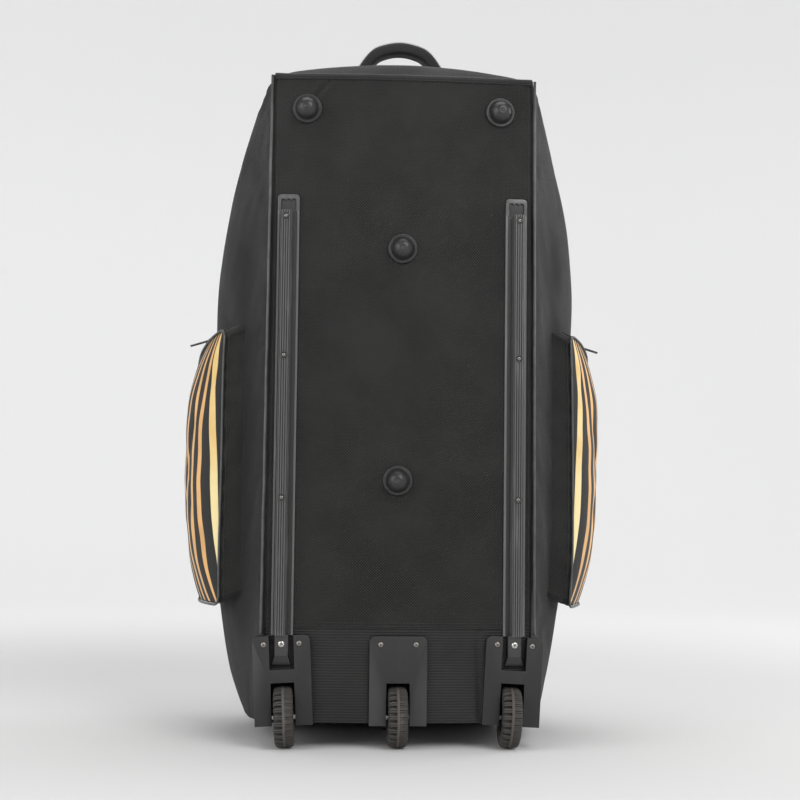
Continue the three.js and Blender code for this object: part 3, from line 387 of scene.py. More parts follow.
def grid_faces(columns, rows, loop=False, hole=None):
    """Faces of a grid of columns x rows points, with each face's corners as (column, row)."""
    count = columns if loop else columns - 1
    i, j = np.meshgrid(np.arange(count), np.arange(rows - 1), indexing="ij")
    i, j = i.ravel(), j.ravel()
    if hole is not None:
        there = ~hole(i, j)
        i, j = i[there], j[there]
    corners = np.stack([i, j, i + 1, j, i + 1, j + 1, i, j + 1], -1).reshape(-1, 4, 2)
    faces = (corners[..., 0] % columns) * rows + corners[..., 1]
    return faces, corners


def cloth_grid(name, points, material, loop=False, flip=False, uvs=None, hole=None, **keep):
    """A sheet through a grid of points; its map runs along both ways in metres unless uvs are given."""
    points = np.asarray(points, float)
    columns, rows = points.shape[:2]
    faces, corners = grid_faces(columns, rows, loop, hole)
    if uvs is None:
        closed = np.concatenate([points, points[:1]]) if loop else points
        along = np.linalg.norm(np.diff(closed, axis=0), axis=-1).mean(1)
        up = np.linalg.norm(np.diff(closed, axis=1), axis=-1).mean(0)
        along, up = np.concatenate([[0], np.cumsum(along)]), np.concatenate([[0], np.cumsum(up)])
        corner_uvs = np.stack([along[corners[..., 0]], up[corners[..., 1]]], -1)
    else:
        corner_uvs = uvs[corners[..., 0], corners[..., 1]]
    if flip:
        faces, corner_uvs = faces[:, ::-1], corner_uvs[:, ::-1]
    return piece(name, points, faces, material, corner_uvs.reshape(-1, 2), **keep)


def use(obj, kind, **values):
    """Adds a modifier with these values and applies it."""
    modifier = obj.modifiers.new(kind.title(), kind)
    for key, value in values.items():
        setattr(modifier, key, value)
    baked(obj)
    return obj


def baked(obj):
    """Keeps the shape that an object's modifiers give it."""
    depsgraph = bpy.context.evaluated_depsgraph_get()
    depsgraph.update()
    mesh = bpy.data.meshes.new_from_object(obj.evaluated_get(depsgraph), preserve_all_data_layers=True,
                                           depsgraph=depsgraph)
    obj.modifiers.clear()
    old = obj.data
    obj.data = mesh
    mesh.name = old.name
    bpy.data.meshes.remove(old)
    return obj


def thickened(obj, wall):
    return use(obj, "SOLIDIFY", thickness=wall, offset=-1, use_rim=True, use_even_offset=False)


def settled(obj, held, buckle, pressure, cap, bending=0.4):
    """Lets a sheet held at some of its points buckle and fill as cloth, and keeps the shape it takes."""
    group = obj.vertex_groups.new(name="held")
    group.add([int(i) for i in np.flatnonzero(held)], 1.0, "REPLACE")
    modifier = obj.modifiers.new("Cloth", "CLOTH")
    cloth = modifier.settings
    cloth.quality = 6
    cloth.mass = 0.25
    cloth.tension_stiffness = cloth.compression_stiffness = 20
    cloth.shear_stiffness = 6
    cloth.bending_stiffness = bending
    cloth.air_damping = 4
    cloth.shrink_min = cloth.shrink_max = -buckle
    cloth.vertex_group_mass = "held"
    cloth.pin_stiffness = 5
    cloth.use_pressure = True
    cloth.uniform_pressure_force = pressure
    cloth.effector_weights.gravity = 0
    modifier.collision_settings.use_collision = False
    modifier.collision_settings.use_self_collision = False
    scene = bpy.context.scene
    frames = settings().shell.settle_frames
    modifier.point_cache.frame_start, modifier.point_cache.frame_end = 1, frames
    for step in range(1, frames + 1):
        scene.frame_set(step)
    depsgraph = bpy.context.evaluated_depsgraph_get()
    moved = np.empty(len(obj.data.vertices) * 3, np.float32)
    obj.evaluated_get(depsgraph).data.vertices.foreach_get("co", moved)
    before = np.empty_like(moved)
    obj.data.vertices.foreach_get("co", before)
    shift = (moved - before).reshape(-1, 3)
    far = np.linalg.norm(shift, axis=1, keepdims=True)
    shift *= np.minimum(1, cap * np.tanh(far / cap) / np.maximum(far, 1e-9))
    obj.modifiers.clear()
    scene.frame_set(1)
    obj.data.vertices.foreach_set("co", (before + shift.ravel()).astype(np.float32))
    obj.data.update()
    return obj


def turned(name, profile, material, count=64, **keep):
    """A round piece about its own axis, which points out along -Y; profile rows are radius and rise."""
    angle = np.linspace(0, 2 * np.pi, count, endpoint=False)[:, None]
    r, rise = np.asarray(profile, float).T
    points = np.stack([r * np.cos(angle), np.broadcast_to(-rise, (count, len(r))), r * np.sin(angle)], -1)
    obj = cloth_grid(name, points, material, loop=True, flip=True, **keep)
    merged(obj)
    return obj


@contextmanager
def reshaped(obj):
    """Opens an object's mesh for editing and writes it back."""
    shape = bmesh.new()
    shape.from_mesh(obj.data)
    yield shape
    shape.to_mesh(obj.data)
    shape.free()


def merged(obj):
    """Joins points that lie on each other, and turns the faces outward."""
    with reshaped(obj) as shape:
        bmesh.ops.remove_doubles(shape, verts=shape.verts, dist=SAME_PLACE)
        bmesh.ops.recalc_face_normals(shape, faces=shape.faces)
    return obj


def filled(obj):
    """Closes every open end of a piece."""
    with reshaped(obj) as shape:
        bmesh.ops.holes_fill(shape, edges=[e for e in shape.edges if e.is_boundary], sides=0)
        bmesh.ops.recalc_face_normals(shape, faces=shape.faces)
    return obj


def copied(name, node, material, bevel, slot, body=BAG, segments=2):
    """A piece in a CAD node's shape with its edges rounded."""
    obj = bpy.data.objects.new(name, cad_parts[node].data.copy())
    with reshaped(obj) as shape:
        bmesh.ops.remove_doubles(shape, verts=shape.verts, dist=SAME_PLACE)
        bmesh.ops.dissolve_limit(shape, angle_limit=math.radians(1), verts=shape.verts, edges=shape.edges)
    kept(obj, material, body, slot, (node,))
    use(obj, "BEVEL", width=bevel, segments=segments, limit_method="ANGLE",
        angle_limit=math.radians(CRISP), use_clamp_overlap=True, harden_normals=False)
    return edged(obj)


def edged(obj, angle=CRISP):
    """Keeps edges sharper than the angle crisp in the shading."""
    with reshaped(obj) as shape:
        for edge in shape.edges:
            edge.smooth = not edge.is_manifold or edge.calc_face_angle(0) < math.radians(angle)
        for face in shape.faces:
            face.smooth = True
    return obj


def tube(name, path, radius, sides, material, closed=False, up=(0, -1, 0), **keep):
    """A cord along a path."""
    path = np.asarray(path, float)
    if closed:
        along = np.roll(path, -1, 0) - np.roll(path, 1, 0)
    else:
        along = np.gradient(path, axis=0)
    along /= np.linalg.norm(along, axis=1, keepdims=True)
    across = np.cross(along, np.asarray(up, float))
    across /= np.maximum(np.linalg.norm(across, axis=1, keepdims=True), 1e-9)
    out = np.cross(across, along)
    angle = np.linspace(0, 2 * np.pi, sides, endpoint=False)
    points = (path[:, None] + radius * (across[:, None] * np.cos(angle)[None, :, None]
              + out[:, None] * np.sin(angle)[None, :, None]))
    ring = np.concatenate([points, points[:, :1]], 1)
    obj = cloth_grid(name, ring, material, loop=closed, **keep)
    merged(obj)
    return obj if closed else filled(obj)


STITCH_FORM = np.array([
    (-0.5, 0, 0), (-0.34, 0.16, 0.09), (-0.34, -0.16, 0.09), (0.34, 0.16, 0.09), (0.34, -0.16, 0.09),
    (0.5, 0, 0), (-0.3, 0, 0.2), (0.3, 0, 0.2),
])
STITCH_FACES = ((0, 2, 6), (0, 6, 1), (2, 4, 7, 6), (1, 6, 7, 3), (4, 5, 7), (7, 5, 3))
TOOTH_FORM = np.array([(a, b, c) for c in (0, 1)
                       for a, b in ((-0.36, -0.5), (0.36, -0.5), (0.36, 0.5), (-0.36, 0.5))])
TOOTH_FACES = ((3, 2, 1, 0), (4, 5, 6, 7), (0, 1, 5, 4), (1, 2, 6, 5), (2, 3, 7, 6), (3, 0, 4, 7))


def distance_along(path):
    return np.concatenate([[0], np.cumsum(np.linalg.norm(np.diff(path, axis=0), axis=1))])


def sampled(rows, span, places):
    """Values of the rows' three columns at some distances along a path."""
    return np.stack([np.interp(places, span, rows[:, k]) for k in range(3)], -1)


def unit(rows):
    return rows / np.linalg.norm(rows, axis=1, keepdims=True)


def row_of(name, form, form_faces, centres, along, out, material, **keep):
    """One small form set at each centre, turned to lie along the path and face out."""
    across = np.cross(out, along)
    points = (centres[:, None] + along[:, None] * form[None, :, :1] + across[:, None] * form[None, :, 1:2]
              + out[:, None] * form[None, :, 2:])
    faces = [tuple(len(form) * k + i for i in f) for k in range(len(centres)) for f in form_faces]
    return piece(name, points, faces, material, **keep)


def stitches(name, path, outward, slot):
    """A row of stitches along a path, lying on a surface that faces outward at each point."""
    pitch = settings().trim.stitch
    path = np.asarray(path, float)
    outward = np.broadcast_to(np.asarray(outward, float), path.shape)
    span = distance_along(path)
    places = np.arange(pitch / 2, span[-1] - pitch / 4, pitch)
    out = unit(sampled(outward, span, places))
    along = unit(sampled(path, span, places + pitch / 3) - sampled(path, span, places - pitch / 3))
    form = STITCH_FORM * (pitch * 0.82, pitch, pitch)
    return row_of(name, form, STITCH_FACES, sampled(path, span, places), along, out, FINISHES["thread"],
                  slot=slot)


def teeth(name, path, outward, pitch, size):
    """A closed zip's teeth along a path, alternating from its two sides."""
    path = np.asarray(path, float)
    span = distance_along(path)
    places = np.arange(pitch, span[-1] - pitch / 2, pitch)
    at = sampled(path, span, places)
    out = unit(sampled(np.asarray(outward, float), span, places))
    along = sampled(path, span, places + pitch) - at
    along[-1] = along[-2]
    along = unit(along)
    wide, rise = size
    form = TOOTH_FORM * (pitch, wide * 0.62, rise)
    form[4:] *= (0.7, 0.9, 1)
    side = np.where(np.arange(len(at)) % 2, 1.0, -1.0)[:, None]
    centre = at + np.cross(out, along) * side * wide * 0.17
    return row_of(name, form, TOOTH_FACES, centre, along, out, FINISHES["coil"], soft=False,
                  slot="zip_tape")


# Materials

VALUE = "NodeSocketFloat"


def node(tree, kind, inputs=(), **values):
    made = tree.nodes.new(kind)
    for key, value in values.items():
        setattr(made, key, value)
    for key, value in dict(inputs).items():
        socket = made.inputs[key]
        if isinstance(value, bpy.types.NodeSocket):
            tree.links.new(value, socket)
        else:
            socket.default_value = value
    return made


def maths(tree, operation, *values):
    return node(tree, "ShaderNodeMath", dict(enumerate(values)), operation=operation).outputs[0]


def times(tree, a, b):
    return maths(tree, "MULTIPLY", a, b)


def ramped(tree, value, low, high, to_low=0.0, to_high=1.0):
    spread = node(tree, "ShaderNodeMapRange", {
        "Value": value, "From Min": low, "From Max": high, "To Min": to_low, "To Max": to_high},
        interpolation_type="SMOOTHSTEP")
    return spread.outputs["Result"]


def mixed(tree, share, a, b):
    mix = node(tree, "ShaderNodeMix", data_type="RGBA")
    for socket, value in ((mix.inputs[0], share), (mix.inputs[6], a), (mix.inputs[7], b)):
        if isinstance(value, bpy.types.NodeSocket):
            tree.links.new(value, socket)
        elif isinstance(value, (int, float)):
            socket.default_value = value
        else:
            socket.default_value = (*value, 1)[:4]
    return mix.outputs[2]


def new_group(name, takes, gives):
    """An empty shader group with number inputs (name, default) and outputs (name, socket type)."""
    tree = bpy.data.node_groups.new(name, "ShaderNodeTree")
    for label, default in takes:
        socket = tree.interface.new_socket(label, in_out="INPUT", socket_type=VALUE)
        socket.default_value = default
    for label, kind in gives:
        tree.interface.new_socket(label, in_out="OUTPUT", socket_type=kind)
    return tree, tree.nodes.new("NodeGroupInput").outputs, tree.nodes.new("NodeGroupOutput").inputs


FULL_TURN = 6.2832


WEAVE_GIVES = (("Height", VALUE), ("Shade", VALUE))


def mapped(tree, name):
    """Places across and up in one of a piece's maps."""
    place = node(tree, "ShaderNodeSeparateXYZ", {0: node(tree, "ShaderNodeUVMap", uv_map=name).outputs[0]})
    return place.outputs[0], place.outputs[1]


def object_place(tree):
    return node(tree, "ShaderNodeTexCoord").outputs["Object"]


def diamond_weave_group():
    """Two sets of slanted threads that cross in small diamonds."""
    tree, takes, gives = new_group("Diamond weave", [("Pitch", 0.0023)], WEAVE_GIVES)
    across, up = mapped(tree, "cloth")
    one = maths(tree, "DIVIDE", maths(tree, "ADD", across, up), takes["Pitch"])
    two = maths(tree, "DIVIDE", maths(tree, "SUBTRACT", across, up), takes["Pitch"])
    one, two = maths(tree, "PINGPONG", one, 0.5), maths(tree, "PINGPONG", two, 0.5)
    cell = times(tree, maths(tree, "MINIMUM", one, two), 2.0)
    thread = maths(tree, "SINE", times(tree, maths(tree, "DIVIDE", up, takes["Pitch"]), 37.7))
    height = maths(tree, "ADD", cell, times(tree, thread, 0.12))
    linked(tree, gives, Height=height, Shade=ramped(tree, cell, 0.05, 0.75))


def plain_weave_group():
    tree, takes, gives = new_group("Plain weave", [("Thread", 0.0011)], WEAVE_GIVES)
    across, up = mapped(tree, "cloth")
    turn = maths(tree, "DIVIDE", FULL_TURN, takes["Thread"])
    warp = maths(tree, "SINE", times(tree, across, turn))
    weft = maths(tree, "SINE", times(tree, up, turn))
    height = maths(tree, "MULTIPLY_ADD", times(tree, warp, weft), 0.5, 0.5)
    linked(tree, gives, Height=height, Shade=height)


def ribbed_weave_group():
    tree, takes, gives = new_group("Ribbed weave", [("Pitch", 0.0032)], WEAVE_GIVES)
    across, up = mapped(tree, "cloth")
    turn = maths(tree, "DIVIDE", FULL_TURN, takes["Pitch"])
    ribs = maths(tree, "SINE", times(tree, up, turn))
    warp = maths(tree, "SINE", times(tree, across, 4200.0))
    both = maths(tree, "ADD", ribs, times(tree, warp, 0.25))
    height = maths(tree, "MULTIPLY_ADD", both, 0.4, 0.5)
    linked(tree, gives, Height=height, Shade=height)


def cloth_wear_group():
    """Soft patches where cloth has rubbed or faded, and sparse lint."""
    tree, takes, gives = new_group("Cloth wear", [("Size", 0.09)], [("Patches", VALUE), ("Lint", VALUE)])
    place = object_place(tree)
    scale = maths(tree, "DIVIDE", 1.0, takes["Size"])
    soft = node(tree, "ShaderNodeTexNoise",
                {"Vector": place, "Scale": scale, "Detail": 4.0, "Roughness": 0.55})
    specks = node(tree, "ShaderNodeTexVoronoi", {"Vector": place, "Scale": 85.0, "Randomness": 1.0})
    thin = node(tree, "ShaderNodeTexNoise", {"Vector": place, "Scale": 23.0, "Detail": 1.0})
    lint = times(tree, ramped(tree, specks.outputs["Distance"], 0.09, 0.03),
                 ramped(tree, thin.outputs["Fac"], 0.60, 0.68))
    linked(tree, gives, Patches=ramped(tree, soft.outputs["Fac"], 0.3, 0.7), Lint=lint)


def moulding_group():
    """Fine moulded grain, scuffs, and convex edges painted brighter, partly as rub and partly as painted
    highlight.
    """
    tree, takes, gives = new_group(
        "Moulding", [("Grain", 0.0006), ("Rub", 1.0)],
        [("Height", VALUE), ("Scuffs", VALUE), ("Edges", VALUE)])
    place = object_place(tree)
    scale = maths(tree, "DIVIDE", 1.0, takes["Grain"])
    grain = node(tree, "ShaderNodeTexNoise", {"Vector": place, "Scale": scale, "Detail": 2.0})
    stretched = node(tree, "ShaderNodeMapping", {"Vector": place, "Scale": (90.0, 90.0, 9.0)})
    marks = node(tree, "ShaderNodeTexNoise", {"Vector": stretched.outputs[0], "Scale": 1.0, "Detail": 5.0})
    cloud = node(tree, "ShaderNodeTexNoise", {"Vector": place, "Scale": 14.0, "Detail": 2.0})
    scuffs = times(tree, ramped(tree, marks.outputs["Fac"], 0.52, 0.7),
                   ramped(tree, cloud.outputs["Fac"], 0.42, 0.62))
    # Pointiness picks out convex edges, which the finishes paint paler: partly rub, partly painted highlight.
    point = node(tree, "ShaderNodeNewGeometry").outputs["Pointiness"]
    edges = times(tree, ramped(tree, point, 0.52, 0.62), takes["Rub"])
    linked(tree, gives, Height=grain.outputs["Fac"], Scuffs=scuffs, Edges=edges)


def linked(tree, sockets, **values):
    """Links values into sockets; an underscore stands for a blank in a socket's name."""
    for key, value in values.items():
        tree.links.new(value, sockets[key.replace("_", " ")])


def fixed(shader, **values):
    """Sets sockets that are the same all over a surface."""
    for key, value in values.items():
        shader.inputs[key.replace("_", " ")].default_value = value


def use_group(tree, name, **values):
    made = tree.nodes.new("ShaderNodeGroup")
    made.node_tree = bpy.data.node_groups[name]
    for key, value in values.items():
        made.inputs[key.replace("_", " ")].default_value = value
    return made.outputs


def new_material(name):
    material = bpy.data.materials.new(name)
    material.use_nodes = True
    tree = material.node_tree
    tree.nodes.clear()
    shader = tree.nodes.new("ShaderNodeBsdfPrincipled")
    output = tree.nodes.new("ShaderNodeOutputMaterial")
    tree.links.new(shader.outputs[0], output.inputs[0])
    return material, tree, shader


def bumped(tree, shader, height, distance):
    bump = node(tree, "ShaderNodeBump", {"Height": height, "Distance": distance, "Strength": 1.0})
    tree.links.new(bump.outputs[0], shader.inputs["Normal"])


def shade(colour, factor):
    return tuple(min(1, c * factor) for c in colour)


def cloth_material(name, colour, weave, rough=0.82, relief=0.00022, contrast=0.35, sheen=0.12,
                   **weave_values):
    material, tree, shader = new_material(name)
    threads = use_group(tree, weave, **weave_values)
    wear = use_group(tree, "Cloth wear")
    fibre = mixed(tree, threads["Shade"], shade(colour, 1 - contrast), shade(colour, 1 + contrast * 0.7))
    faded = mixed(tree, times(tree, wear["Patches"], 0.32), fibre, shade(colour, 1.45))
    linted = mixed(tree, times(tree, wear["Lint"], 0.22), faded, (0.3, 0.29, 0.27))
    linked(tree, shader.inputs, Base_Color=linted,
           Roughness=ramped(tree, wear["Patches"], 0, 1, rough, rough - 0.1))
    bumped(tree, shader, threads["Height"], relief)
    fixed(shader, Specular_IOR_Level=0.3, Sheen_Weight=sheen, Sheen_Roughness=0.45)
    return material


def plastic_material(name, colour, rough, rub_and_highlight=1.0, grain=0.0006, relief=0.00005):
    material, tree, shader = new_material(name)
    form = use_group(tree, "Moulding", Grain=grain, Rub=rub_and_highlight)
    marked = mixed(tree, times(tree, form["Scuffs"], 0.5), colour, shade(colour, 2.6))
    # Convex edges painted up to four times paler: partly rub, partly painted highlight along the bevels.
    rubbed = mixed(tree, times(tree, form["Edges"], 0.5), marked, shade(colour, 4.0))
    linked(tree, shader.inputs, Base_Color=rubbed,
           Roughness=ramped(tree, form["Scuffs"], 0, 1, rough, rough + 0.18))
    bumped(tree, shader, form["Height"], relief)
    return material


def metal_material(name, colour, rough, dulled):
    material, tree, shader = new_material(name)
    form = use_group(tree, "Moulding", Grain=0.0009, Rub=1.0)
    linked(tree, shader.inputs, Base_Color=mixed(tree, form["Scuffs"], colour, dulled),
           Roughness=ramped(tree, form["Scuffs"], 0, 1, rough, rough + 0.2))
    bumped(tree, shader, form["Height"], 0.00004)
    fixed(shader, Metallic=1.0)
    return material


def tyre_material(colours):
    """Rubber with dust and a painted highlight on its convex edges, and a paler moulding line round its
    middle.
    """
    material, tree, shader = new_material("Tyre rubber")
    form = use_group(tree, "Moulding", Grain=0.0011, Rub=0.6)
    across, _ = mapped(tree, "cloth")
    line = ramped(tree, maths(tree, "ABSOLUTE", across), 0.0022, 0.0006)
    worn = mixed(tree, form["Scuffs"], colours.rubber, shade(colours.rubber, 1.9))
    # Dust colour on the convex edges: partly dust, partly painted highlight.
    dusty_and_highlit = mixed(tree, times(tree, form["Edges"], 0.55), worn, colours.dust)
    lined = mixed(tree, times(tree, line, 0.5), dusty_and_highlit, colours.dust)
    linked(tree, shader.inputs, Base_Color=lined)
    fixed(shader, Roughness=0.78)
    bumped(tree, shader, form["Height"], 0.00012)
    return material


def piping_material(colours):
    """Black vinyl piping with a painted highlight: a pale grey glint, varied in patches, along most of its
    length and none near the bag's top.
    """
    material, tree, shader = new_material("Piping")
    wear = use_group(tree, "Cloth wear", Size=0.02)
    height = node(tree, "ShaderNodeSeparateXYZ", {0: object_place(tree)}).outputs[2]
    # Painted highlight: the vinyl's glint, pale grey below the top and varied in patches; above it the piping
    # stays dark.
    painted_glint = times(tree, ramped(tree, height, 0.865, 0.845),
                 ramped(tree, wear["Patches"], 0, 1, 0.55, 1))
    linked(tree, shader.inputs, Base_Color=mixed(tree, painted_glint, (0.02, 0.02, 0.02), colours.piping))
    fixed(shader, Roughness=0.34)
    bumped(tree, shader, wear["Patches"], 0.0002)
    return material


# The printed stripes, from the base side back. Each row is a height as a share of the pocket's, then the
# stripe's front and back edges as shares of the pocket's depth.
STRIPES = (
    ("gold", ((0.0, 0, 0), (0.12, 0.0, 0.01), (0.25, 0.008, 0.05), (0.38, 0.02, 0.078),
              (0.55, 0.036, 0.092), (0.65, 0.05, 0.108), (0.73, 0.056, 0.108), (0.8, 0.06, 0.098),
              (0.88, 0.05, 0.1), (1.0, 0.05, 0.055))),
    ("tan", ((0.0, 0.03, 0.055), (0.1, 0.085, 0.125), (0.22, 0.13, 0.185), (0.35, 0.17, 0.228),
             (0.55, 0.185, 0.235), (0.65, 0.18, 0.23), (0.76, 0.15, 0.185), (0.88, 0.115, 0.142),
             (1.0, 0.075, 0.082))),
    ("tan", ((0.0, 0.15, 0.19), (0.1, 0.22, 0.27), (0.22, 0.265, 0.32), (0.35, 0.3, 0.36),
             (0.5, 0.315, 0.365), (0.62, 0.3, 0.345), (0.76, 0.25, 0.285), (0.88, 0.185, 0.21),
             (1.0, 0.105, 0.115))),
    ("tan", ((0.0, 0.28, 0.32), (0.1, 0.34, 0.395), (0.22, 0.4, 0.455), (0.35, 0.445, 0.5),
             (0.5, 0.46, 0.51), (0.62, 0.44, 0.485), (0.76, 0.37, 0.405), (0.88, 0.26, 0.29),
             (1.0, 0.14, 0.15))),
    ("tan", ((0.0, 0.42, 0.455), (0.1, 0.48, 0.53), (0.22, 0.55, 0.6), (0.35, 0.6, 0.65),
             (0.5, 0.615, 0.665), (0.62, 0.59, 0.635), (0.76, 0.49, 0.525), (0.88, 0.34, 0.37),
             (1.0, 0.18, 0.19))),
)


def curved(tree, value, points):
    curve = node(tree, "ShaderNodeFloatCurve", {"Value": value})
    line = curve.mapping.curves[0]
    for x, y in points[1:-1]:
        line.points.new(x, y)
    for point, (x, y) in zip(line.points, points):
        point.location = (x, y)
    curve.mapping.update()
    return curve.outputs[0]


def striped_material(colours):
    """Black cloth printed with stripes that follow the pocket's curve; the wide gold stripe carries a painted
    sheen.
    """
    material, tree, shader = new_material("Striped cloth")
    back, up = mapped(tree, "print")
    threads = use_group(tree, "Plain weave", Thread=0.0014)
    wear = use_group(tree, "Cloth wear", Size=0.05)
    colour = mixed(tree, threads["Shade"], shade(colours.cloth, 0.8), shade(colours.cloth, 1.25))
    # Painted highlight: the wide gold stripe turns to its pale sheen towards its foot and in random patches.
    gold_with_painted_sheen = mixed(tree, ramped(tree, up, 0.75, 0.1), colours.gold, colours.painted_gold_sheen)
    inks = {"gold": mixed(tree, times(tree, wear["Patches"], 0.5), gold_with_painted_sheen, colours.painted_gold_sheen),
            "tan": mixed(tree, wear["Patches"], colours.tan, shade(colours.tan, 1.3))}
    printed = None
    for ink, rows in STRIPES:
        front = curved(tree, up, [(row[0], row[1]) for row in rows])
        rear = curved(tree, up, [(row[0], row[2]) for row in rows])
        inside = maths(tree, "MULTIPLY",
                       ramped(tree, maths(tree, "SUBTRACT", back, front), -0.003, 0.003),
                       ramped(tree, maths(tree, "SUBTRACT", rear, back), -0.003, 0.003))
        colour = mixed(tree, inside, colour, inks[ink])
        printed = inside if printed is None else maths(tree, "MAXIMUM", printed, inside)
    linked(tree, shader.inputs, Base_Color=colour, Roughness=ramped(tree, printed, 0, 1, 0.78, 0.36))
    relief = maths(tree, "MULTIPLY_ADD", threads["Height"], 0.5, times(tree, printed, 0.5))
    bumped(tree, shader, relief, 0.0002)
    fixed(shader, Sheen_Weight=0.08)
    return material


def backdrop_material(colour):
    material, tree, shader = new_material("Backdrop")
    cloud = node(tree, "ShaderNodeTexNoise", {"Scale": 1.2, "Detail": 1.0})
    even = mixed(tree, cloud.outputs["Fac"], shade(colour, 0.995), shade(colour, 1.005))
    place = node(tree, "ShaderNodeSeparateXYZ", {0: object_place(tree)})
    away = maths(tree, "SQRT", maths(tree, "ADD", maths(tree, "POWER", place.outputs[0], 2.0),
                                     maths(tree, "POWER", place.outputs[1], 2.0)))
    linked(tree, shader.inputs, Base_Color=even,
           Emission_Strength=ramped(tree, away, 0.8, 2.6, 0.0, 0.29))
    fixed(shader, Emission_Color=(1, 1, 1, 1), Roughness=0.95, Specular_IOR_Level=0.0)
    return material


FINISHES = {}


def make_finishes():
    """Builds the shared groups and every finish of the bag."""
    for build in (diamond_weave_group, plain_weave_group, ribbed_weave_group, cloth_wear_group,
                  moulding_group):
        build()
    c = settings().colours
    plastic = tuple(c.plastic)
    FINISHES.update({
        "base": cloth_material("Base weave", tuple(c.weave), "Diamond weave", contrast=0.95, relief=0.0009,
                               Pitch=0.0037),
        "gusset": cloth_material("Gusset weave", tuple(c.weave), "Diamond weave", rough=0.72, contrast=0.9,
                                 relief=0.0006, sheen=0.08, Pitch=0.0034),
        "side": cloth_material("Side cloth", tuple(c.cloth), "Plain weave", sheen=0.06),
        "kick": cloth_material("Kick cloth", tuple(c.kick), "Ribbed weave", rough=0.6, contrast=0.55,
                               relief=0.0004, Pitch=0.0036),
        "tape": cloth_material("Zip tape", (0.012, 0.012, 0.012), "Plain weave", Thread=0.0016),
        "webbing": cloth_material("Webbing", (0.014, 0.014, 0.014), "Diamond weave", rough=0.7, relief=0.0003,
                                  Pitch=0.0032),
        "thread": cloth_material("Thread", (0.026, 0.026, 0.026), "Plain weave", rough=0.6, Thread=0.0004),
        "striped": striped_material(c),
        "piping": piping_material(c),
        "rail": plastic_material("Runner plastic", shade(plastic, 3.2), 0.3, rub_and_highlight=1.0),
        "bracket": plastic_material("Bracket plastic", shade(plastic, 0.62), 0.42, rub_and_highlight=1.3, relief=0.00008),
        "stud": plastic_material("Stud plastic", shade(plastic, 0.8), 0.36, rub_and_highlight=0.6),
        "hub": plastic_material("Hub plastic", plastic, 0.5, rub_and_highlight=0.5),
        "coil": plastic_material("Zip teeth", (0.02, 0.02, 0.02), 0.3, rub_and_highlight=0.5, grain=0.0003),
        "steel": metal_material("Bright steel", (0.62, 0.6, 0.57), 0.26, (0.3, 0.28, 0.26)),
        "dull_steel": metal_material("Dark steel", (0.30, 0.28, 0.26), 0.34, (0.12, 0.11, 0.1)),
        "black_metal": metal_material("Blackened metal", (0.07, 0.068, 0.066), 0.3, (0.16, 0.15, 0.14)),
        "tyre": tyre_material(c),
        "backdrop": backdrop_material(tuple(settings().stage.backdrop)),
    })


# Pieces of the shell

# Columns and rows of the simulated sheets, and the gap between one sheet and the next.
SIDE_GRID = (52, 170)
LID_GRID = (70, 150)
SHEET_GAP = 0.0002


def shell_panels():
    """Sides, lid and main zip on the bag's skin."""
    width = settings().shell.zip_width
    outer = zip_turn() + turn_of(width / 2)
    inner = zip_turn() - turn_of(width / 2)
    cross = 1 - up_of(width)
    side_sheets(outer)
    lid_sheet(inner, cross)
    main_zip_tape(outer, inner, cross)
    main_zip_teeth(cross)
    main_zip_stitches(outer, inner, cross)


def side_sheets(outer):
    """The two soft sides, swelling a little, with slanted creases near the base."""
    s = settings().shell
    columns, rows = SIDE_GRID
    swell, crease = 0.0022, 0.0021
    ups = np.linspace(0, 1, rows)
    hump = np.sin(np.linspace(0, np.pi, columns))[:, None]
    for name, way in WAYS:
        turns = np.linspace(outer + turn_of(SHEET_GAP), 1, columns)
        points = skin(way * turns[:, None], ups[None, :], 0.0006) + origin()
        points[..., 0] += way * swell * ripple(points, 11, 1) * hump
        slanted = np.stack([points[..., 0], points[..., 1] + 0.45 * points[..., 2],
                            0.3 * points[..., 2]], -1)
        near_base = np.clip((turns - 0.72) / 0.12, 0, 1) * np.clip((1 - turns) / 0.03, 0, 1)
        points[..., 0] += way * crease * ripple(slanted, 34, 13 + way) * near_base[:, None]
        side = cloth_grid(f"side_cloth_{name}", points, FINISHES["side"], flip=way > 0, slot="side_cloth",
                          replaces=(f"side_panel_{name}",))
        settled(side, edge_mask(columns, rows), s.buckle, pressure=0.4, cap=0.0028)
        thickened(side, s.cloth_wall)


def lid_sheet(inner, cross):
    s = settings().shell
    columns, rows = LID_GRID
    swell = 0.003
    turns = np.linspace(-inner + turn_of(SHEET_GAP), inner - turn_of(SHEET_GAP), columns)
    ups = np.linspace(0, cross - up_of(SHEET_GAP), rows)
    points = skin(turns[:, None], ups[None, :], 0.0004) + origin()
    points[..., 1] += swell * ripple(points, 8, 2) * np.sin(np.linspace(0, np.pi, columns))[:, None]
    lid = cloth_grid("lid_cloth", points, FINISHES["side"], slot="lid_cloth", flip=True,
                     replaces=("lid_panel",))
    settled(lid, edge_mask(columns, rows), s.buckle, pressure=0.6, cap=0.008)
    thickened(lid, s.cloth_wall)


def main_zip_tape(outer, inner, cross):
    """The tape runs up one edge of the lid, across its top and down the other."""
    side, rise = 5, 110
    turns = np.concatenate([np.linspace(-outer, -inner, side), np.linspace(-inner, inner, 60)[1:-1],
                            np.linspace(inner, outer, side)])
    ups = np.concatenate([np.linspace(0, cross, rise), np.linspace(cross, 1, 5)[1:]])
    points = skin(turns[:, None], ups[None, :], 0.0012) + origin()
    tape = cloth_grid("main_zip_tape", points, FINISHES["tape"], flip=True, slot="zip_tape",
                      replaces=("main_zip",),
                      hole=lambda i, j: (j < rise - 1) & (i >= side - 1) & (i < len(turns) - side))
    thickened(tape, 0.001)


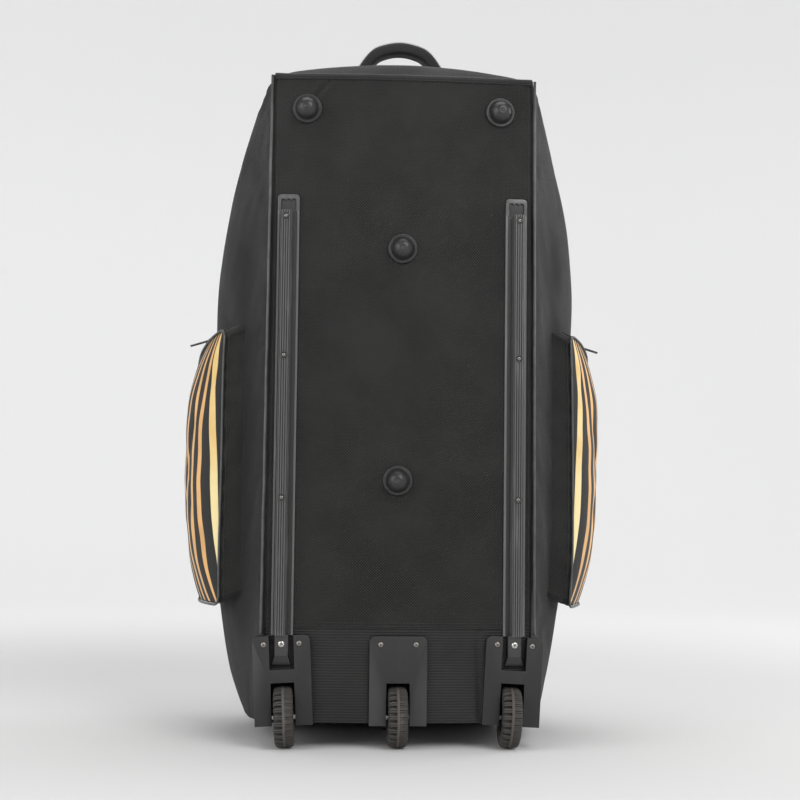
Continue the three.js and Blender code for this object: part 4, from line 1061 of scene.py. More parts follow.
def main_zip_teeth(cross):
    """Teeth along the middle of the tape, round its two upper corners."""
    mid, top = zip_turn(), (1 + cross) / 2
    corner = 0.012
    bend = np.linspace(0, np.pi / 2, 12)[1:-1]
    high = np.linspace(0.002, top - up_of(corner), 160)
    ups = np.concatenate([high, high[-1] + up_of(corner) * np.sin(bend)])
    outs = np.concatenate([np.full(len(high), mid), mid - turn_of(corner) * (1 - np.cos(bend))])
    across = np.linspace(-outs[-1] + turn_of(0.003), outs[-1] - turn_of(0.003), 90)
    path, outward = skin_line(np.concatenate([-outs, across, outs[::-1]]),
                              np.concatenate([ups, np.full(len(across), top), ups[::-1]]), -0.0002)
    teeth("main_zip_teeth", path, outward, pitch=0.0032, size=(0.0062, 0.0016))


def main_zip_stitches(outer, inner, cross):
    inset, lift = 0.0045, -0.0001
    for name, way in WAYS:
        for edge, place in (("outer", outer + turn_of(inset)), ("inner", inner - turn_of(inset))):
            ups = np.linspace(0.004, 0.994 if edge == "outer" else cross - up_of(0.005), 300)
            line, out = skin_line(way * place, ups, lift)
            stitches(f"zip_stitches_{edge}_{name}", line, out, slot="side_cloth")
    across = np.linspace(-inner + turn_of(0.004), inner - turn_of(0.004), 120)
    line, out = skin_line(across, cross - up_of(inset), lift)
    stitches("zip_stitches_across", line, out, slot="lid_cloth")


def edge_mask(columns, rows):
    held = np.zeros((columns, rows), bool)
    held[[0, -1], :] = True
    held[:, [0, -1]] = True
    return held.ravel()


def well_hole(points, reach):
    """Tells which of a grid's faces lie in a wheel's well, within reach across, behind and above the axle."""
    o = origin()
    wells = [np.array(bracket_matrix(way).inverted()).T for _, way in BRACKET_WAYS]

    def hole(i, j):
        middle = (points[i, j] + points[(i + 1) % len(points), j + 1]) / 2
        inside = np.zeros(len(middle), bool)
        for well in wells:
            place = (np.c_[middle + o, np.ones(len(middle))] @ well)[:, :3]
            inside |= (np.abs(place[:, 0]) < reach[0]) & (place[:, 1] < reach[1]) & (place[:, 2] < reach[2])
        return inside

    return hole


def base_points(across, heights, inwards=0.0, puff=True):
    """Points of the base's outer face; across runs from -1 to 1."""
    share, z = np.broadcast_arrays(across[:, None], heights[None, :])
    x = share * (base_half(z) - 0.0006)
    y = base_face(x, z) + inwards
    points = np.stack([x, y, z], -1)
    if puff:
        edge = np.clip((np.abs(share) - 0.9) / 0.1, 0, 1)
        outside = np.clip((np.abs(share) - 0.80) / 0.08, 0, 1)
        points[..., 1] += 0.0028 * edge ** 3
        points[..., 1] -= (0.0004 + 0.0009 * outside) * (ripple(points, 14, 3) + 0.5 * ripple(points, 37, 4))
        slanted = np.stack([points[..., 0] * 1.3 + 0.6 * points[..., 2], 0 * z, 0.4 * points[..., 2]], -1)
        points[..., 1] -= 0.0013 * outside * (1 - edge) * ripple(slanted, 42, 5)
        # A crease runs from the left top stud up to the end seam.
        start, end = np.array([-0.121, 0.866]), np.array([-0.098, 0.893])
        way = (end - start) / np.linalg.norm(end - start)
        rel = points[..., [0, 2]] - start
        along = np.clip((rel @ way) / np.linalg.norm(end - start), 0, 1)
        off = np.linalg.norm(rel - along[..., None] * (end - start), axis=-1)
        fold, swell = np.exp(-(off / 0.0028) ** 2), np.exp(-((off - 0.006) / 0.004) ** 2)
        points[..., 1] += 0.0016 * fold - 0.0009 * swell
    return points


def base_line(across, height, inwards=0.0, puff=True):
    """A level line on the base's outer face."""
    return base_points(across, np.array([height]), inwards, puff)[:, 0]


BASE_ACROSS = np.linspace(-1, 1, 150)
# The binding's fold over the base's top edge, as depth and height from that edge.
BINDING_FOLD = ((0.0015, -0.0066), (-0.0011, -0.0066), (-0.0017, -0.003), (-0.0013, 0.0004),
                (0.0004, 0.0021), (0.0035, 0.0026), (0.007, 0.0024))


def base_cloths():
    """The base's weave, the kick panel below it, their binding, seams and piping."""
    base_sheet()
    kick_sheet()
    base_binding()
    kick_seam()
    for name, way in WAYS:
        base_edge(name, way)


def base_sheet():
    s = settings().shell
    points = base_points(BASE_ACROSS, np.linspace(s.kick_height, s.seam_height, 300)) + origin()
    base = cloth_grid("base_cloth", points, FINISHES["base"], slot="base_weave", replaces=("base_panel",))
    thickened(base, s.board_wall - 0.0006)


def kick_sheet():
    """The coated panel at the base's foot, with a crease beside the middle wheel and holes for the wheels."""
    s = settings().shell
    crease, wrinkle = 0.0022, 0.0011
    heights = np.linspace(s.heel_height, s.kick_height - 0.0004, 90)
    points = base_points(BASE_ACROSS, heights, 0.0009)
    groove = np.exp(-((points[..., 0] - 0.107 - 0.03 * (0.1 - points[..., 2])) / 0.004) ** 2)
    points[..., 1] += crease * groove * np.clip(points[..., 2] / 0.05, 0, 1)
    points[..., 1] -= wrinkle * ripple(points, 19, 6)
    kick = cloth_grid("kick_cloth", points + origin(), FINISHES["kick"], slot="kick_cloth",
                      replaces=("kick_panel",), hole=well_hole(points, (0.0195, np.inf, 0.0495)))
    thickened(kick, 0.003)


def base_binding():
    """The binding folded over the base's top edge, with two rows of stitches."""
    s = settings().shell
    width = np.linspace(-0.995, 0.995, 110)
    edge = base_line(width, s.seam_height, puff=False)
    rows = np.stack([edge + (0, y, z) for y, z in BINDING_FOLD], 1)
    rows[..., 2] += 0.0006 * ripple(rows, 40, 8)
    binding = cloth_grid("base_binding", rows + origin(), FINISHES["webbing"], slot="end_cloth")
    thickened(binding, 0.0009)
    for k, (drop, lift) in enumerate(((0.0018, 0.0019), (0.0052, 0.0017))):
        line = base_line(width, s.seam_height - drop, -lift, puff=False) + origin()
        stitches(f"binding_stitches_{k + 1}", line, (0, -1, 0), slot="end_cloth")


def kick_seam():
    """The seam between base and kick panel, with two rows of stitches above it."""
    s = settings().shell
    for k, rise in enumerate((0.0026, 0.0068)):
        line = base_line(np.linspace(-0.985, 0.985, 110), s.kick_height + rise, -0.0006) + origin()
        stitches(f"kick_stitches_{k + 1}", line, (0, -1, 0), slot="base_weave")
    line = base_line(np.linspace(-0.99, 0.99, 120), s.kick_height + 0.0004, 0.0002) + origin()
    tube("kick_seam", line, 0.0011, 8, FINISHES["kick"], slot="kick_cloth")


def base_edge(name, way):
    """Piping on one long edge of the base, and the stitches on both sides of it."""
    s = settings().shell
    z = np.linspace(settings().trim.bracket_top + 0.001, s.seam_height - 0.001, 220)
    reach = s.piping_radius + 0.0003
    path = np.stack([way * (base_half(z) + reach * 0.9), np.full_like(z, -reach * 0.55), z], -1)
    path[:, 0] += 0.0005 * ripple(path, 21, 9)
    tube(f"edge_piping_{name}", path + origin(), s.piping_radius, 12, FINISHES["piping"],
         slot="base_piping", replaces=(f"base_piping_{name}",))
    share = 1 - 0.0055 / (s.base_width / 2)
    line = base_points(np.array([way * share]), z, -0.0001)[0] + origin()
    stitches(f"edge_stitches_{name}", line, (0, -1, 0), slot="base_weave")
    line, out = skin_line(np.full(200, way * 0.984), np.linspace(0.14, 0.985, 200), -0.0003)
    stitches(f"side_stitches_{name}", line, out, slot="side_cloth")


def end_rim(up):
    """Points round an end's rim, from the base's right edge over the lid to its left one and back."""
    s = settings().shell
    turns = np.linspace(0.985, -0.985, 190)
    shell = skin(turns, up, 0.0026)
    shell = shell[shell[:, 1] > s.board_wall + 0.0004]
    z = s.seam_height if up else s.heel_height
    board = base_line(np.linspace(-0.97, 0.97, 60), z, s.board_wall + 0.0004, puff=False)
    return np.vstack([shell, board])


# Rings of an end panel, as shares of the way from its middle to its rim.
END_RINGS = np.array([1, 0.99, 0.975, 0.95, 0.92, 0.89, 0.85, 0.78, 0.68, 0.56, 0.42, 0.28, 0.14, 0.02])


def end_panels():
    """The crowned panels that close the bag's two ends."""
    top_end()
    bottom_end()


def top_end():
    """The top end, crowned, with a roll where it swells up behind the base's seam."""
    s = settings().shell
    rim = end_rim(1)
    middle_y = s.bag_depth * GIRTH[-1][2] / 2
    r = END_RINGS[None, :]
    z = (s.seam_height - s.lid_drop / 4) * (1 - r) + rim[:, 2:3] * r + s.top_crown * (1 - r ** 3)
    points = np.stack([rim[:, :1] * r, middle_y * (1 - r) + rim[:, 1:2] * r, z], -1)
    points[..., 2] += 0.0016 * ripple(points, 16, 11) * (1 - r ** 4)
    inside = np.cos(np.clip(points[..., 0] / base_half(s.seam_height), -1, 1) * np.pi / 2) ** 0.7
    behind_seam = np.exp(-((points[..., 1] - 0.028) / 0.034) ** 2)
    points[..., 2] += s.seam_roll * (1 - r ** 12) * inside * behind_seam
    top = cloth_grid("top_cloth", points + origin(), FINISHES["side"], loop=True, slot="end_cloth",
                     replaces=("end_panel_top",))
    thickened(close_middle(top), s.cloth_wall)


def bottom_end():
    """The bottom end, which lies on the floor behind and slopes up to the heel in front."""
    s = settings().shell
    rim = end_rim(0)
    middle_y = (s.rest_depth + s.bag_depth * GIRTH[0][2]) / 2 - 0.01
    r = END_RINGS[None, :]
    y = middle_y * (1 - r) + rim[:, 1:2] * r
    slope = s.heel_height * np.maximum(0, 1 - y / s.rest_depth)
    share = np.clip((r - 0.75) / 0.25, 0, 1)
    roll = rim[:, 2:3] * share * share * (3 - 2 * share)
    points = np.stack([rim[:, :1] * r, y, np.maximum(slope, roll)], -1)
    bottom = cloth_grid("bottom_cloth", points + origin(), FINISHES["kick"], loop=True, flip=True,
                        slot="end_cloth", replaces=("end_panel_bottom",),
                        hole=well_hole(points, (0.021, 0.054, np.inf)))
    thickened(close_middle(bottom), s.cloth_wall)


def close_middle(obj):
    """Closes the small hole at the middle of a round sheet."""
    with reshaped(obj) as shape:
        centre = sum((v.co for v in shape.verts), Vector()) / len(shape.verts)
        ring = [e for e in shape.edges if e.is_boundary and (e.verts[0].co - centre).xy.length < 0.02]
        if ring:
            bmesh.ops.holes_fill(shape, edges=ring, sides=0)
    return smoothed(obj)


# Runners, studs, brackets and wheels

def facet_slope():
    s = settings().shell
    return math.atan2(s.base_crown * CROWN_SHARE[2], (1 - CROWN_ACROSS[2]) * s.base_width / 2)


def seat_matrix(x, z, way):
    o = origin()
    y = float(base_face(np.array(x), np.array(z))) - 0.0003
    return Matrix.Translation(Vector((x, y, 0)) + Vector(o)) @ Matrix.Rotation(way * facet_slope(), 4, "Z")


def bracket_matrix(way):
    t = settings().trim
    o = origin()
    place = Vector((way * t.wheel_spacing / 2, 0, t.wheel_radius)) + Vector(o)
    return Matrix.Translation(place) @ Matrix.Rotation(way * t.lean, 4, "Y")


def placed_at(obj, matrix):
    obj.data.transform(matrix)
    return obj


# How far the ribbed bar stands towards the bag's side from the rail's middle.
BAR_SHIFT = 0.0024
RAIL_SCREW_HEIGHTS = (0.958, 0.704, 0.447)
# Half profiles as rows of radius and rise: the rail screws' bosses and heads.
BOSS_ROWS = ((0, 0.0004), (0.0029, 0.0004), (0.0033, 0.0013), (0.0042, 0.0014), (0.0046, 0.0009),
             (0.0047, -0.0012))
HEAD_ROWS = ((0, 0.0013), (0.0012, 0.0013), (0.0021, 0.001), (0.0026, 0.0003))


def rail_section(way):
    """The runner's section as rows of place across and rise: raised rims and a ribbed bar."""
    t = settings().trim
    w, rib, rise = t.rail_width / 2, t.rib_width / 2, t.rail_rise
    left = [(-w, 0), (-w, 0.0026), (-w + 0.0006, 0.0032), (-w + 0.0028, 0.0032), (-w + 0.0034, 0.0018),
            (-rib - 0.0008, 0.0018), (-rib, 0.003), (-rib, rise - 0.0014), (-rib + 0.0006, rise - 0.0006)]
    ribs = []
    count, groove = 4, 0.0014
    wide = (t.rib_width - 0.0018) / count
    for k in range(count):
        a = -rib + 0.0009 + k * (t.rib_width - 0.0018) / count
        ribs += [(a, rise - groove), (a + wide * 0.22, rise), (a + wide * 0.78, rise),
                 (a + wide, rise - groove)]
    right = [(-x, y) for x, y in reversed(left)]
    return [(x + (way * BAR_SHIFT if abs(x) <= rib + 0.001 else 0), y) for x, y in left + ribs + right]


def runner(name, way):
    """A ribbed rail, the frame at its top, its tongue in the bracket and its screws."""
    t = settings().trim
    matrix = seat_matrix(way * t.rail_spacing / 2, settings().shell.heel_height, way)
    foot = t.bracket_top + 0.0004
    rail_bar(name, way, matrix, foot)
    rail_end(name, matrix)
    rise = rail_tongue(name, matrix, foot)
    for k, share in enumerate(RAIL_SCREW_HEIGHTS):
        at = matrix @ Matrix.Translation((way * BAR_SHIFT, -t.rail_rise, share * t.rail_top))
        boss = turned(f"rail_screw_{name}_{k + 1}", BOSS_ROWS, FINISHES["coil"], 32, slot="black_steel",
                      replaces=(f"runner_screw_{name}_{k + 1}",))
        placed_at(boss, at)
        head = turned(f"rail_screw_head_{name}_{k + 1}", HEAD_ROWS, FINISHES["dull_steel"], 28,
                      slot="black_steel")
        placed_at(head, at)
        painted_shade_cross(f"rail_screw_slot_{name}_{k + 1}", at @ Matrix.Translation((0, -0.0012, 0)), 0.0014)
    screw(f"tongue_screw_{name}", matrix @ Matrix.Translation((0, -rise, t.screw_height)), 0.0044,
          "steel", "steel", f"runner_foot_screw_{name}")


def rail_bar(name, way, matrix, foot):
    """The flange with its rims and ribbed bar, and a dark strip on the channel's floor beside the bar:
    painted shade.
    """
    t = settings().trim
    profile = np.array(rail_section(way))
    shoulder = t.rib_top
    heights = np.concatenate([[foot, foot + 0.0006], np.linspace(foot + 0.01, shoulder - 0.0006, 30),
                              [shoulder]])
    size = (len(heights), len(profile))
    points = np.stack([np.broadcast_to(rows, size) for rows in
                       (profile[None, :, 0], -profile[None, :, 1], heights[:, None])], -1)
    closed = np.concatenate([points, points[:, :1]], 1)
    bar = cloth_grid(f"rail_bar_{name}", closed, FINISHES["rail"], slot="runner_plastic",
                     replaces=(f"runner_{name}",))
    placed_at(edged(filled(merged(bar)), 30), matrix)
    # Painted shade: a thin dark strip laid over the light flange in the channel beside the bar.
    beside = way * BAR_SHIFT - way * (t.rib_width / 2 + 0.0012)
    low, high = sorted((beside, -way * (t.rail_width / 2 - 0.0036)))
    floor = [(low, foot + 0.001), (high, foot + 0.001), (high, shoulder), (low, shoulder)]
    channel = plate(f"rail_channel_painted_shade_{name}", [floor], 0.0021, 0.0001, FINISHES["hub"], "runner_plastic")
    placed_at(channel, matrix)


def rail_end(name, matrix):
    """The rail's end: a rounded frame about a window whose top has three scallops."""
    t = settings().trim
    w, top, shoulder = t.rail_width / 2, t.rail_top, t.rib_top
    rim = rounded_outline(-w, shoulder, w, top, (0.0, 0.0, 0.0052, 0.0052), 8)
    hole = w - 0.0042
    angle = np.linspace(0, np.pi, 9)
    radius = hole / 3
    scallops = []
    for k in (1, 0, -1):
        centre = k * hole * 2 / 3
        scallops += list(np.stack([centre + radius * np.cos(angle),
                                   top - 0.0092 + radius * np.sin(angle)], -1))
    opening = [(-hole, shoulder + 0.0006), (hole, shoulder + 0.0006)] + scallops
    end = plate(f"rail_end_{name}", [rim, opening], 0.0032, 0.0004, FINISHES["rail"], "runner_plastic")
    placed_at(end, matrix)
    window = plate(f"rail_window_{name}", [opening], 0.0009, 0.0001, FINISHES["hub"], "runner_plastic")
    placed_at(window, matrix)


def rail_tongue(name, matrix, foot):
    """A block in the bracket's channel with a bevelled, flared foot; gives how far it stands out."""
    half, rise, edge = 0.009, 0.009, 0.0006
    low = settings().trim.rail_foot + 0.0004
    rows = ((low, 0.0127, 0.0016), (low + 0.0012, 0.0127, 0.0034), (low + 0.0125, half, rise - 0.0004),
            (low + 0.0135, half, rise), (foot + 0.0006, half, rise))
    points = [[(-wide, 0, z), (-wide, -lift + edge, z), (-wide + edge, -lift, z), (wide - edge, -lift, z),
               (wide, -lift + edge, z), (wide, 0, z), (-wide, 0, z)] for z, wide, lift in rows]
    tongue = cloth_grid(f"rail_tongue_{name}", np.array(points), FINISHES["coil"], slot="runner_plastic")
    placed_at(edged(filled(merged(tongue)), 20), matrix)
    return rise


def rounded_outline(left, low, right, high, radii, count):
    """An outline round a rectangle; radii are for its corners from the lower left anticlockwise."""
    points = []
    corners = ((left, low, 1, 1, 180), (right, low, -1, 1, 270), (right, high, -1, -1, 0),
               (left, high, 1, -1, 90))
    for (x, y, sx, sy, start), radius in zip(corners, radii):
        if not radius:
            points.append((x, y))
            continue
        for k in range(count + 1):
            angle = math.radians(start + 90 * k / count)
            points.append((x + sx * radius + radius * math.cos(angle),
                           y + sy * radius + radius * math.sin(angle)))
    return points


def plate(name, outlines, depth, bevel, material, slot, **keep):
    """A plate with rounded edges standing out of y = 0 towards -Y; the outlines lie in x and z."""
    curve = bpy.data.curves.new(name, "CURVE")
    curve.dimensions, curve.fill_mode = "2D", "BOTH"
    curve.extrude, curve.bevel_depth, curve.bevel_resolution = depth / 2 - bevel, bevel, 2
    curve.offset = -bevel
    for outline in outlines:
        spline = curve.splines.new("POLY")
        spline.points.add(len(outline) - 1)
        for point, (x, z) in zip(spline.points, outline):
            point.co = (x, z, 0, 1)
        spline.use_cyclic_u = True
    holder = bpy.data.objects.new(name, curve)
    bpy.context.scene.collection.objects.link(holder)
    mesh = bpy.data.meshes.new_from_object(holder.evaluated_get(bpy.context.evaluated_depsgraph_get()))
    bpy.data.objects.remove(holder)
    bpy.data.curves.remove(curve)
    mesh.transform(Matrix.Translation((0, -depth / 2, 0)) @ Matrix.Rotation(math.pi / 2, 4, "X"))
    obj = kept(bpy.data.objects.new(name, mesh), material, slot=slot, **keep)
    merged(obj)
    edged(obj, 35)
    return obj


def painted_shade_cross(name, matrix, size):
    """A dark cross laid on a screw's head: painted shade standing for its recessed cross slot."""
    arm = size * 0.22
    outline = [(-size, -arm), (-arm, -arm), (-arm, -size), (arm, -size), (arm, -arm), (size, -arm),
               (size, arm), (arm, arm), (arm, size), (-arm, size), (-arm, arm), (-size, arm)]
    # Painted shade: the dark plate stands for the shade in the cross recess.
    slot = plate(name, [outline], 0.00024, 0.00004, FINISHES["hub"], "hub_plastic")
    placed_at(slot, matrix @ Matrix.Rotation(math.radians(24), 4, "Y"))


def screw(name, matrix, radius, finish, slot, node_name):
    rows = [(0, 0.0014), (radius * 0.45, 0.0014), (radius * 0.75, 0.0011), (radius * 0.94, 0.0005),
            (radius, 0), (radius, -0.0006)]
    head = turned(name, rows, FINISHES[finish], 40, slot=slot, replaces=(node_name,))
    placed_at(head, matrix)
    painted_shade_cross(name + "_slot", matrix @ Matrix.Translation((0, -0.0013, 0)), radius * 0.55)


# A stud's profile as shares of its radius and rise: dome, groove and lipped ring.
STUD_ROWS = np.array([
    (0, 0.975), (0.06, 0.975), (0.085, 0.955), (0.115, 0.985), (0.15, 1), (0.24, 0.985), (0.34, 0.95),
    (0.46, 0.87), (0.58, 0.75), (0.68, 0.60), (0.745, 0.44), (0.78, 0.3), (0.80, 0.22), (0.83, 0.195),
    (0.87, 0.20), (0.92, 0.22), (0.965, 0.2), (0.99, 0.15), (1, 0.08), (1, 0),
])
# Where the studs stand, as shares of the top studs' spacing and of the base's height.
STUD_PLACES = (("top_left", -0.489, 0.948), ("top_right", 0.489, 0.949), ("upper", 0, 0.738),
               ("lower", -0.012, 0.392))


def studs():
    """Four base studs: a lipped ring, a dome and a small ring at its tip."""
    s, t = settings().shell, settings().trim
    profile = STUD_ROWS * (t.stud_radius, t.stud_rise)
    for name, across, up in STUD_PLACES:
        x, z = across * t.stud_spacing, up * s.seam_height
        stud = turned(f"stud_{name}", profile, FINISHES["stud"], 72, slot="stud_plastic",
                      replaces=(f"base_stud_{name}",))
        placed_at(stud, seat_matrix(x, z, float(np.sign(across))) @ Matrix.Translation((0, 0.0, z)))


# The tread's pattern over one pitch: 1 in a groove, 2 in a nick and 0 on a block.
TREAD_PITCHES = 27
TREAD = ((0.0, 0), (0.06, 0), (0.11, 1), (0.47, 1), (0.52, 0), (0.74, 0), (0.76, 2), (0.82, 2), (0.84, 0))
GROOVE_DEPTH, NICK_DEPTH = 0.0046, 0.0012
# A tyre's section: place across as a share of half its width, height as a share from bore to tread, and
# how much of a groove's depth is cut there.
TYRE_ROWS = np.array([
    (-0.9, 0, 0), (-1, 0.12, 0), (-1, 0.5, 0), (-0.985, 0.66, 0.7), (-0.93, 0.80, 1), (-0.82, 0.90, 1),
    (-0.62, 0.955, 1), (-0.40, 0.98, 1), (-0.17, 0.99, 1), (-0.13, 0.995, 0), (-0.05, 0.998, 0),
    (-0.03, 1.012, 0), (0.03, 1.012, 0), (0.05, 0.998, 0), (0.13, 0.995, 0), (0.17, 0.99, 1),
    (0.40, 0.98, 1), (0.62, 0.955, 1), (0.82, 0.90, 1), (0.93, 0.80, 1), (0.985, 0.66, 0.7),
    (1, 0.5, 0), (1, 0.12, 0), (0.9, 0, 0), (-0.9, 0, 0),
])
# A hub's section as rows of radius and place along the axle.
HUB_ROWS = (
    (0.0045, 0.011), (0.0085, 0.011), (0.0095, 0.0085), (0.0125, 0.0048), (0.0175, 0.0042),
    (0.0205, 0.0058), (0.0218, 0.0098), (0.0228, 0.011), (0.0238, 0.0105), (0.0239, -0.0105),
    (0.0228, -0.011), (0.0218, -0.0098), (0.0205, -0.0058), (0.0175, -0.0042), (0.0125, -0.0048),
    (0.0095, -0.0085), (0.0085, -0.011), (0.0045, -0.011), (0.0045, 0.011),
)


def tyre_mesh(name, material, slot, body, replaces):
    """A tyre with pairs of grooves in both shoulders and a moulding line round its middle."""
    t = settings().trim
    angle = np.array([(k + share) / TREAD_PITCHES * 2 * math.pi
                      for k in range(TREAD_PITCHES) for share, _ in TREAD])
    state = np.array([kind for _, kind in TREAD] * TREAD_PITCHES)
    bore = t.hub_radius + 0.0003
    across, height, cut_share = TYRE_ROWS.T
    across = across * (t.tyre_width / 2)
    cut = np.zeros((len(angle), len(across)))
    for side in (0, 1):
        shifted = np.roll(state, 4 * side)
        depth = np.where(shifted == 1, GROOVE_DEPTH, np.where(shifted == 2, NICK_DEPTH, 0))
        cut += depth[:, None] * cut_share[None, :] * ((across < 0) == (side == 0))[None, :]
    radius = bore + (t.wheel_radius - bore) * np.minimum(height, 1.0)[None, :] - cut
    points = np.stack([np.broadcast_to(across[None, :], radius.shape), radius * np.sin(angle)[:, None],
                       -radius * np.cos(angle)[:, None]], -1)
    size = (len(angle) + 1, len(across))
    around = np.append(angle, 2 * np.pi)[:, None] * t.wheel_radius
    uvs = np.stack([np.broadcast_to(across[None, :], size), np.broadcast_to(around, size)], -1)
    obj = cloth_grid(name, points, material, loop=True, uvs=uvs, slot=slot, body=body, replaces=replaces)
    return edged(merged(obj), 32)


def running_gear():
    """Brackets, wheels, axles and their screws."""
    t = settings().trim
    for name, way in BRACKET_WAYS:
        matrix = bracket_matrix(way)
        wheel_at = matrix @ Matrix.Translation((0, 0.002, 0))
        copied(f"bracket_{name}", f"wheel_bracket_{name}", FINISHES["bracket"], 0.0011, "bracket_plastic",
               segments=3)
        tyre = tyre_mesh(f"tread_{name}", FINISHES["tyre"], "tyre", f"wheel_{name}", (f"tyre_{name}",))
        placed_at(tyre, wheel_at)
        hub = turned(f"hub_{name}", HUB_ROWS, FINISHES["hub"], 48, slot="hub_plastic", body=f"wheel_{name}",
                     replaces=(f"wheel_hub_{name}",))
        placed_at(edged(hub, 40), wheel_at @ Matrix.Rotation(math.pi / 2, 4, "Z"))
        for end, along in WAYS:
            at = matrix @ Matrix.Translation((along * 0.0233, -0.0133, t.screw_height - t.wheel_radius))
            screw(f"plate_screw_{name}_{end}", at, t.screw_radius * 1.12, "dull_steel", "bracket_steel",
                  f"bracket_screw_{name}_{end}")
        carried(f"axle_{name}", "steel")
    for name, way in WAYS:
        runner(name, way)


def carried(node_name, finish):
    """Gives a CAD node that keeps its shape its finish."""
    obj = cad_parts[node_name]
    if obj.material_slots:
        for slot in obj.material_slots:
            slot.material = FINISHES[finish]
    else:
        obj.data.materials.append(FINISHES[finish])


# Pockets

def side_at(way, depth, z):
    """How far out the bag's skin is at this depth and height."""
    depth, z = np.broadcast_arrays(np.asarray(depth, float), np.asarray(z, float))
    low, high = np.full(z.shape, zip_turn() - turn_of(settings().shell.zip_width / 2)), np.ones(z.shape)
    for _ in range(22):
        middle = (low + high) / 2
        point = skin(way * middle, up_of(z - settings().shell.heel_height))
        deeper = point[..., 1] > depth
        low, high = np.where(deeper, middle, low), np.where(deeper, high, middle)
    return np.abs(skin(way * low, up_of(z - settings().shell.heel_height))[..., 0])


# How far the gusset's cloth swells between its seams, and how far cast zip parts are rounded.
GUSSET_PUFF = 0.0045
METAL_BEVEL = 0.0005


def pocket_outline():
    """The pocket's outline seen from its side: rows of back share, height share and depth, height."""
    p = settings().pocket
    span = p.back - p.front
    count_bend, count_side = 14, 26
    corners = [np.array([p.front + back * span, p.foot + up * p.height - dip * p.slope, round_ * span])
               for back, up, dip, round_ in POCKET_CORNERS]
    marks, points = [], []
    for k, corner in enumerate(corners):
        place, reach = corner[:2], corner[2]
        before, after = corners[k - 1][:2], corners[(k + 1) % 4][:2]
        start = place + (before - place) / np.linalg.norm(before - place) * reach
        end = place + (after - place) / np.linalg.norm(after - place) * reach
        t = np.linspace(0, 1, count_bend)[:, None]
        points.append(start * (1 - t) ** 2 + 2 * place * t * (1 - t) + end * t ** 2)
        next_reach = corners[(k + 1) % 4][2]
        next_start = after + (place - after) / np.linalg.norm(place - after) * next_reach
        t = np.linspace(0, 1, count_side + 2)[1:-1, None]
        points.append(end + (next_start - end) * t)
        marks.append(((count_bend + count_side) * k + count_bend - 1, (count_bend + count_side) * (k + 1)))
    return np.vstack(points), marks


def gusset_points(way, outline, shares, puff=0.0):
    """Rows of points across the gusset: 0 at the bag and 1 at the panel."""
    p = settings().pocket
    back = np.clip((outline[:, 0] - p.front) / (p.back - p.front), 0, 1)
    up = (outline[:, 1] - p.foot) / p.height
    root = side_at(way, outline[:, 0] - p.taper, outline[:, 1] + p.sag)
    wide = p.gusset_front + (p.gusset_back - p.gusset_front) * back - p.gusset_loss * up
    shares = np.asarray(shares, float)[None, :]
    x = root[:, None] + (-0.003 + (wide[:, None] + 0.003) * shares)
    y = outline[:, :1] - p.taper * (1 - shares)
    z = outline[:, 1:2] + p.sag * (1 - shares)
    points = np.stack([way * x, y, z], -1)
    ahead = np.roll(outline, -1, 0) - np.roll(outline, 1, 0)
    out = np.stack([ahead[:, 1], -ahead[:, 0]], -1)
    out /= np.linalg.norm(out, axis=1, keepdims=True)
    fold = puff * np.sin(np.pi * np.clip(shares, 0, 1))
    slanted = np.stack([points[..., 0] * 1.2 + way * 0.7 * points[..., 2], points[..., 1] * 0.8,
                        points[..., 2] * 0.25], -1)
    wave = 0.5 + 0.3 * ripple(points * (0.6, 1, 1), 17, 21 + way) + 0.75 * ripple(slanted, 36, 25 + way)
    points[..., 1] += out[:, :1] * fold * wave
    points[..., 2] += out[:, 1:] * fold * wave
    return points, out


def panel_points(way, rim, shares):
    p = settings().pocket
    r = shares[None, :]
    low, high = rim.min(0), rim.max(0)
    middle = (low + high) / 2
    up = 2 * (rim[:, None, 2] * r + middle[2] * (1 - r) - p.foot) / p.height - 1
    swell = p.bulge * (1 - r ** 3) * (1 - p.flatter * up ** 2)
    x = np.abs(rim[:, :1]) * r + abs(middle[0]) * (1 - r) + 0.0005 + swell
    y = rim[:, 1:2] * r + middle[1] * (1 - r)
    z = rim[:, 2:3] * r + middle[2] * (1 - r)
    return np.stack([way * x, y, z], -1)


def add_print(obj):
    """A second map that places the stripes: across is the share of the depth and up that of the height."""
    p = settings().pocket
    layer = obj.data.uv_layers.new(name="print")
    places = np.empty(len(obj.data.vertices) * 3, np.float32)
    obj.data.vertices.foreach_get("co", places)
    places = places.reshape(-1, 3) - origin()
    loops = np.empty(len(obj.data.loops), np.int32)
    obj.data.loops.foreach_get("vertex_index", loops)
    shares = np.stack([(places[:, 1] - p.front) / (p.back - p.front), (places[:, 2] - p.foot) / p.height], -1)
    layer.data.foreach_set("uv", shares[loops].astype(np.float32).ravel())


def pocket(name, way):
    """One side pocket: gusset, padded striped panel, piping, zip and its pull."""
    outline, marks = pocket_outline()
    _, out = gusset_points(way, outline, [0])
    outward = np.stack([0 * out[:, 0], out[:, 0], out[:, 1]], -1)
    gusset(name, way, outline, out)
    striped_panel(name, way, outline, out)
    gusset_stitches(name, way, outline, outward)
    pocket_zip(name, way, outline, marks, outward)
    copied(f"slider_{name}", f"pocket_{name}_slider", FINISHES["black_metal"], METAL_BEVEL, "zip_metal")
    copied(f"tab_{name}", f"pocket_{name}_tab", FINISHES["black_metal"], METAL_BEVEL, "zip_metal",
           body=f"pocket_{name}_pull")


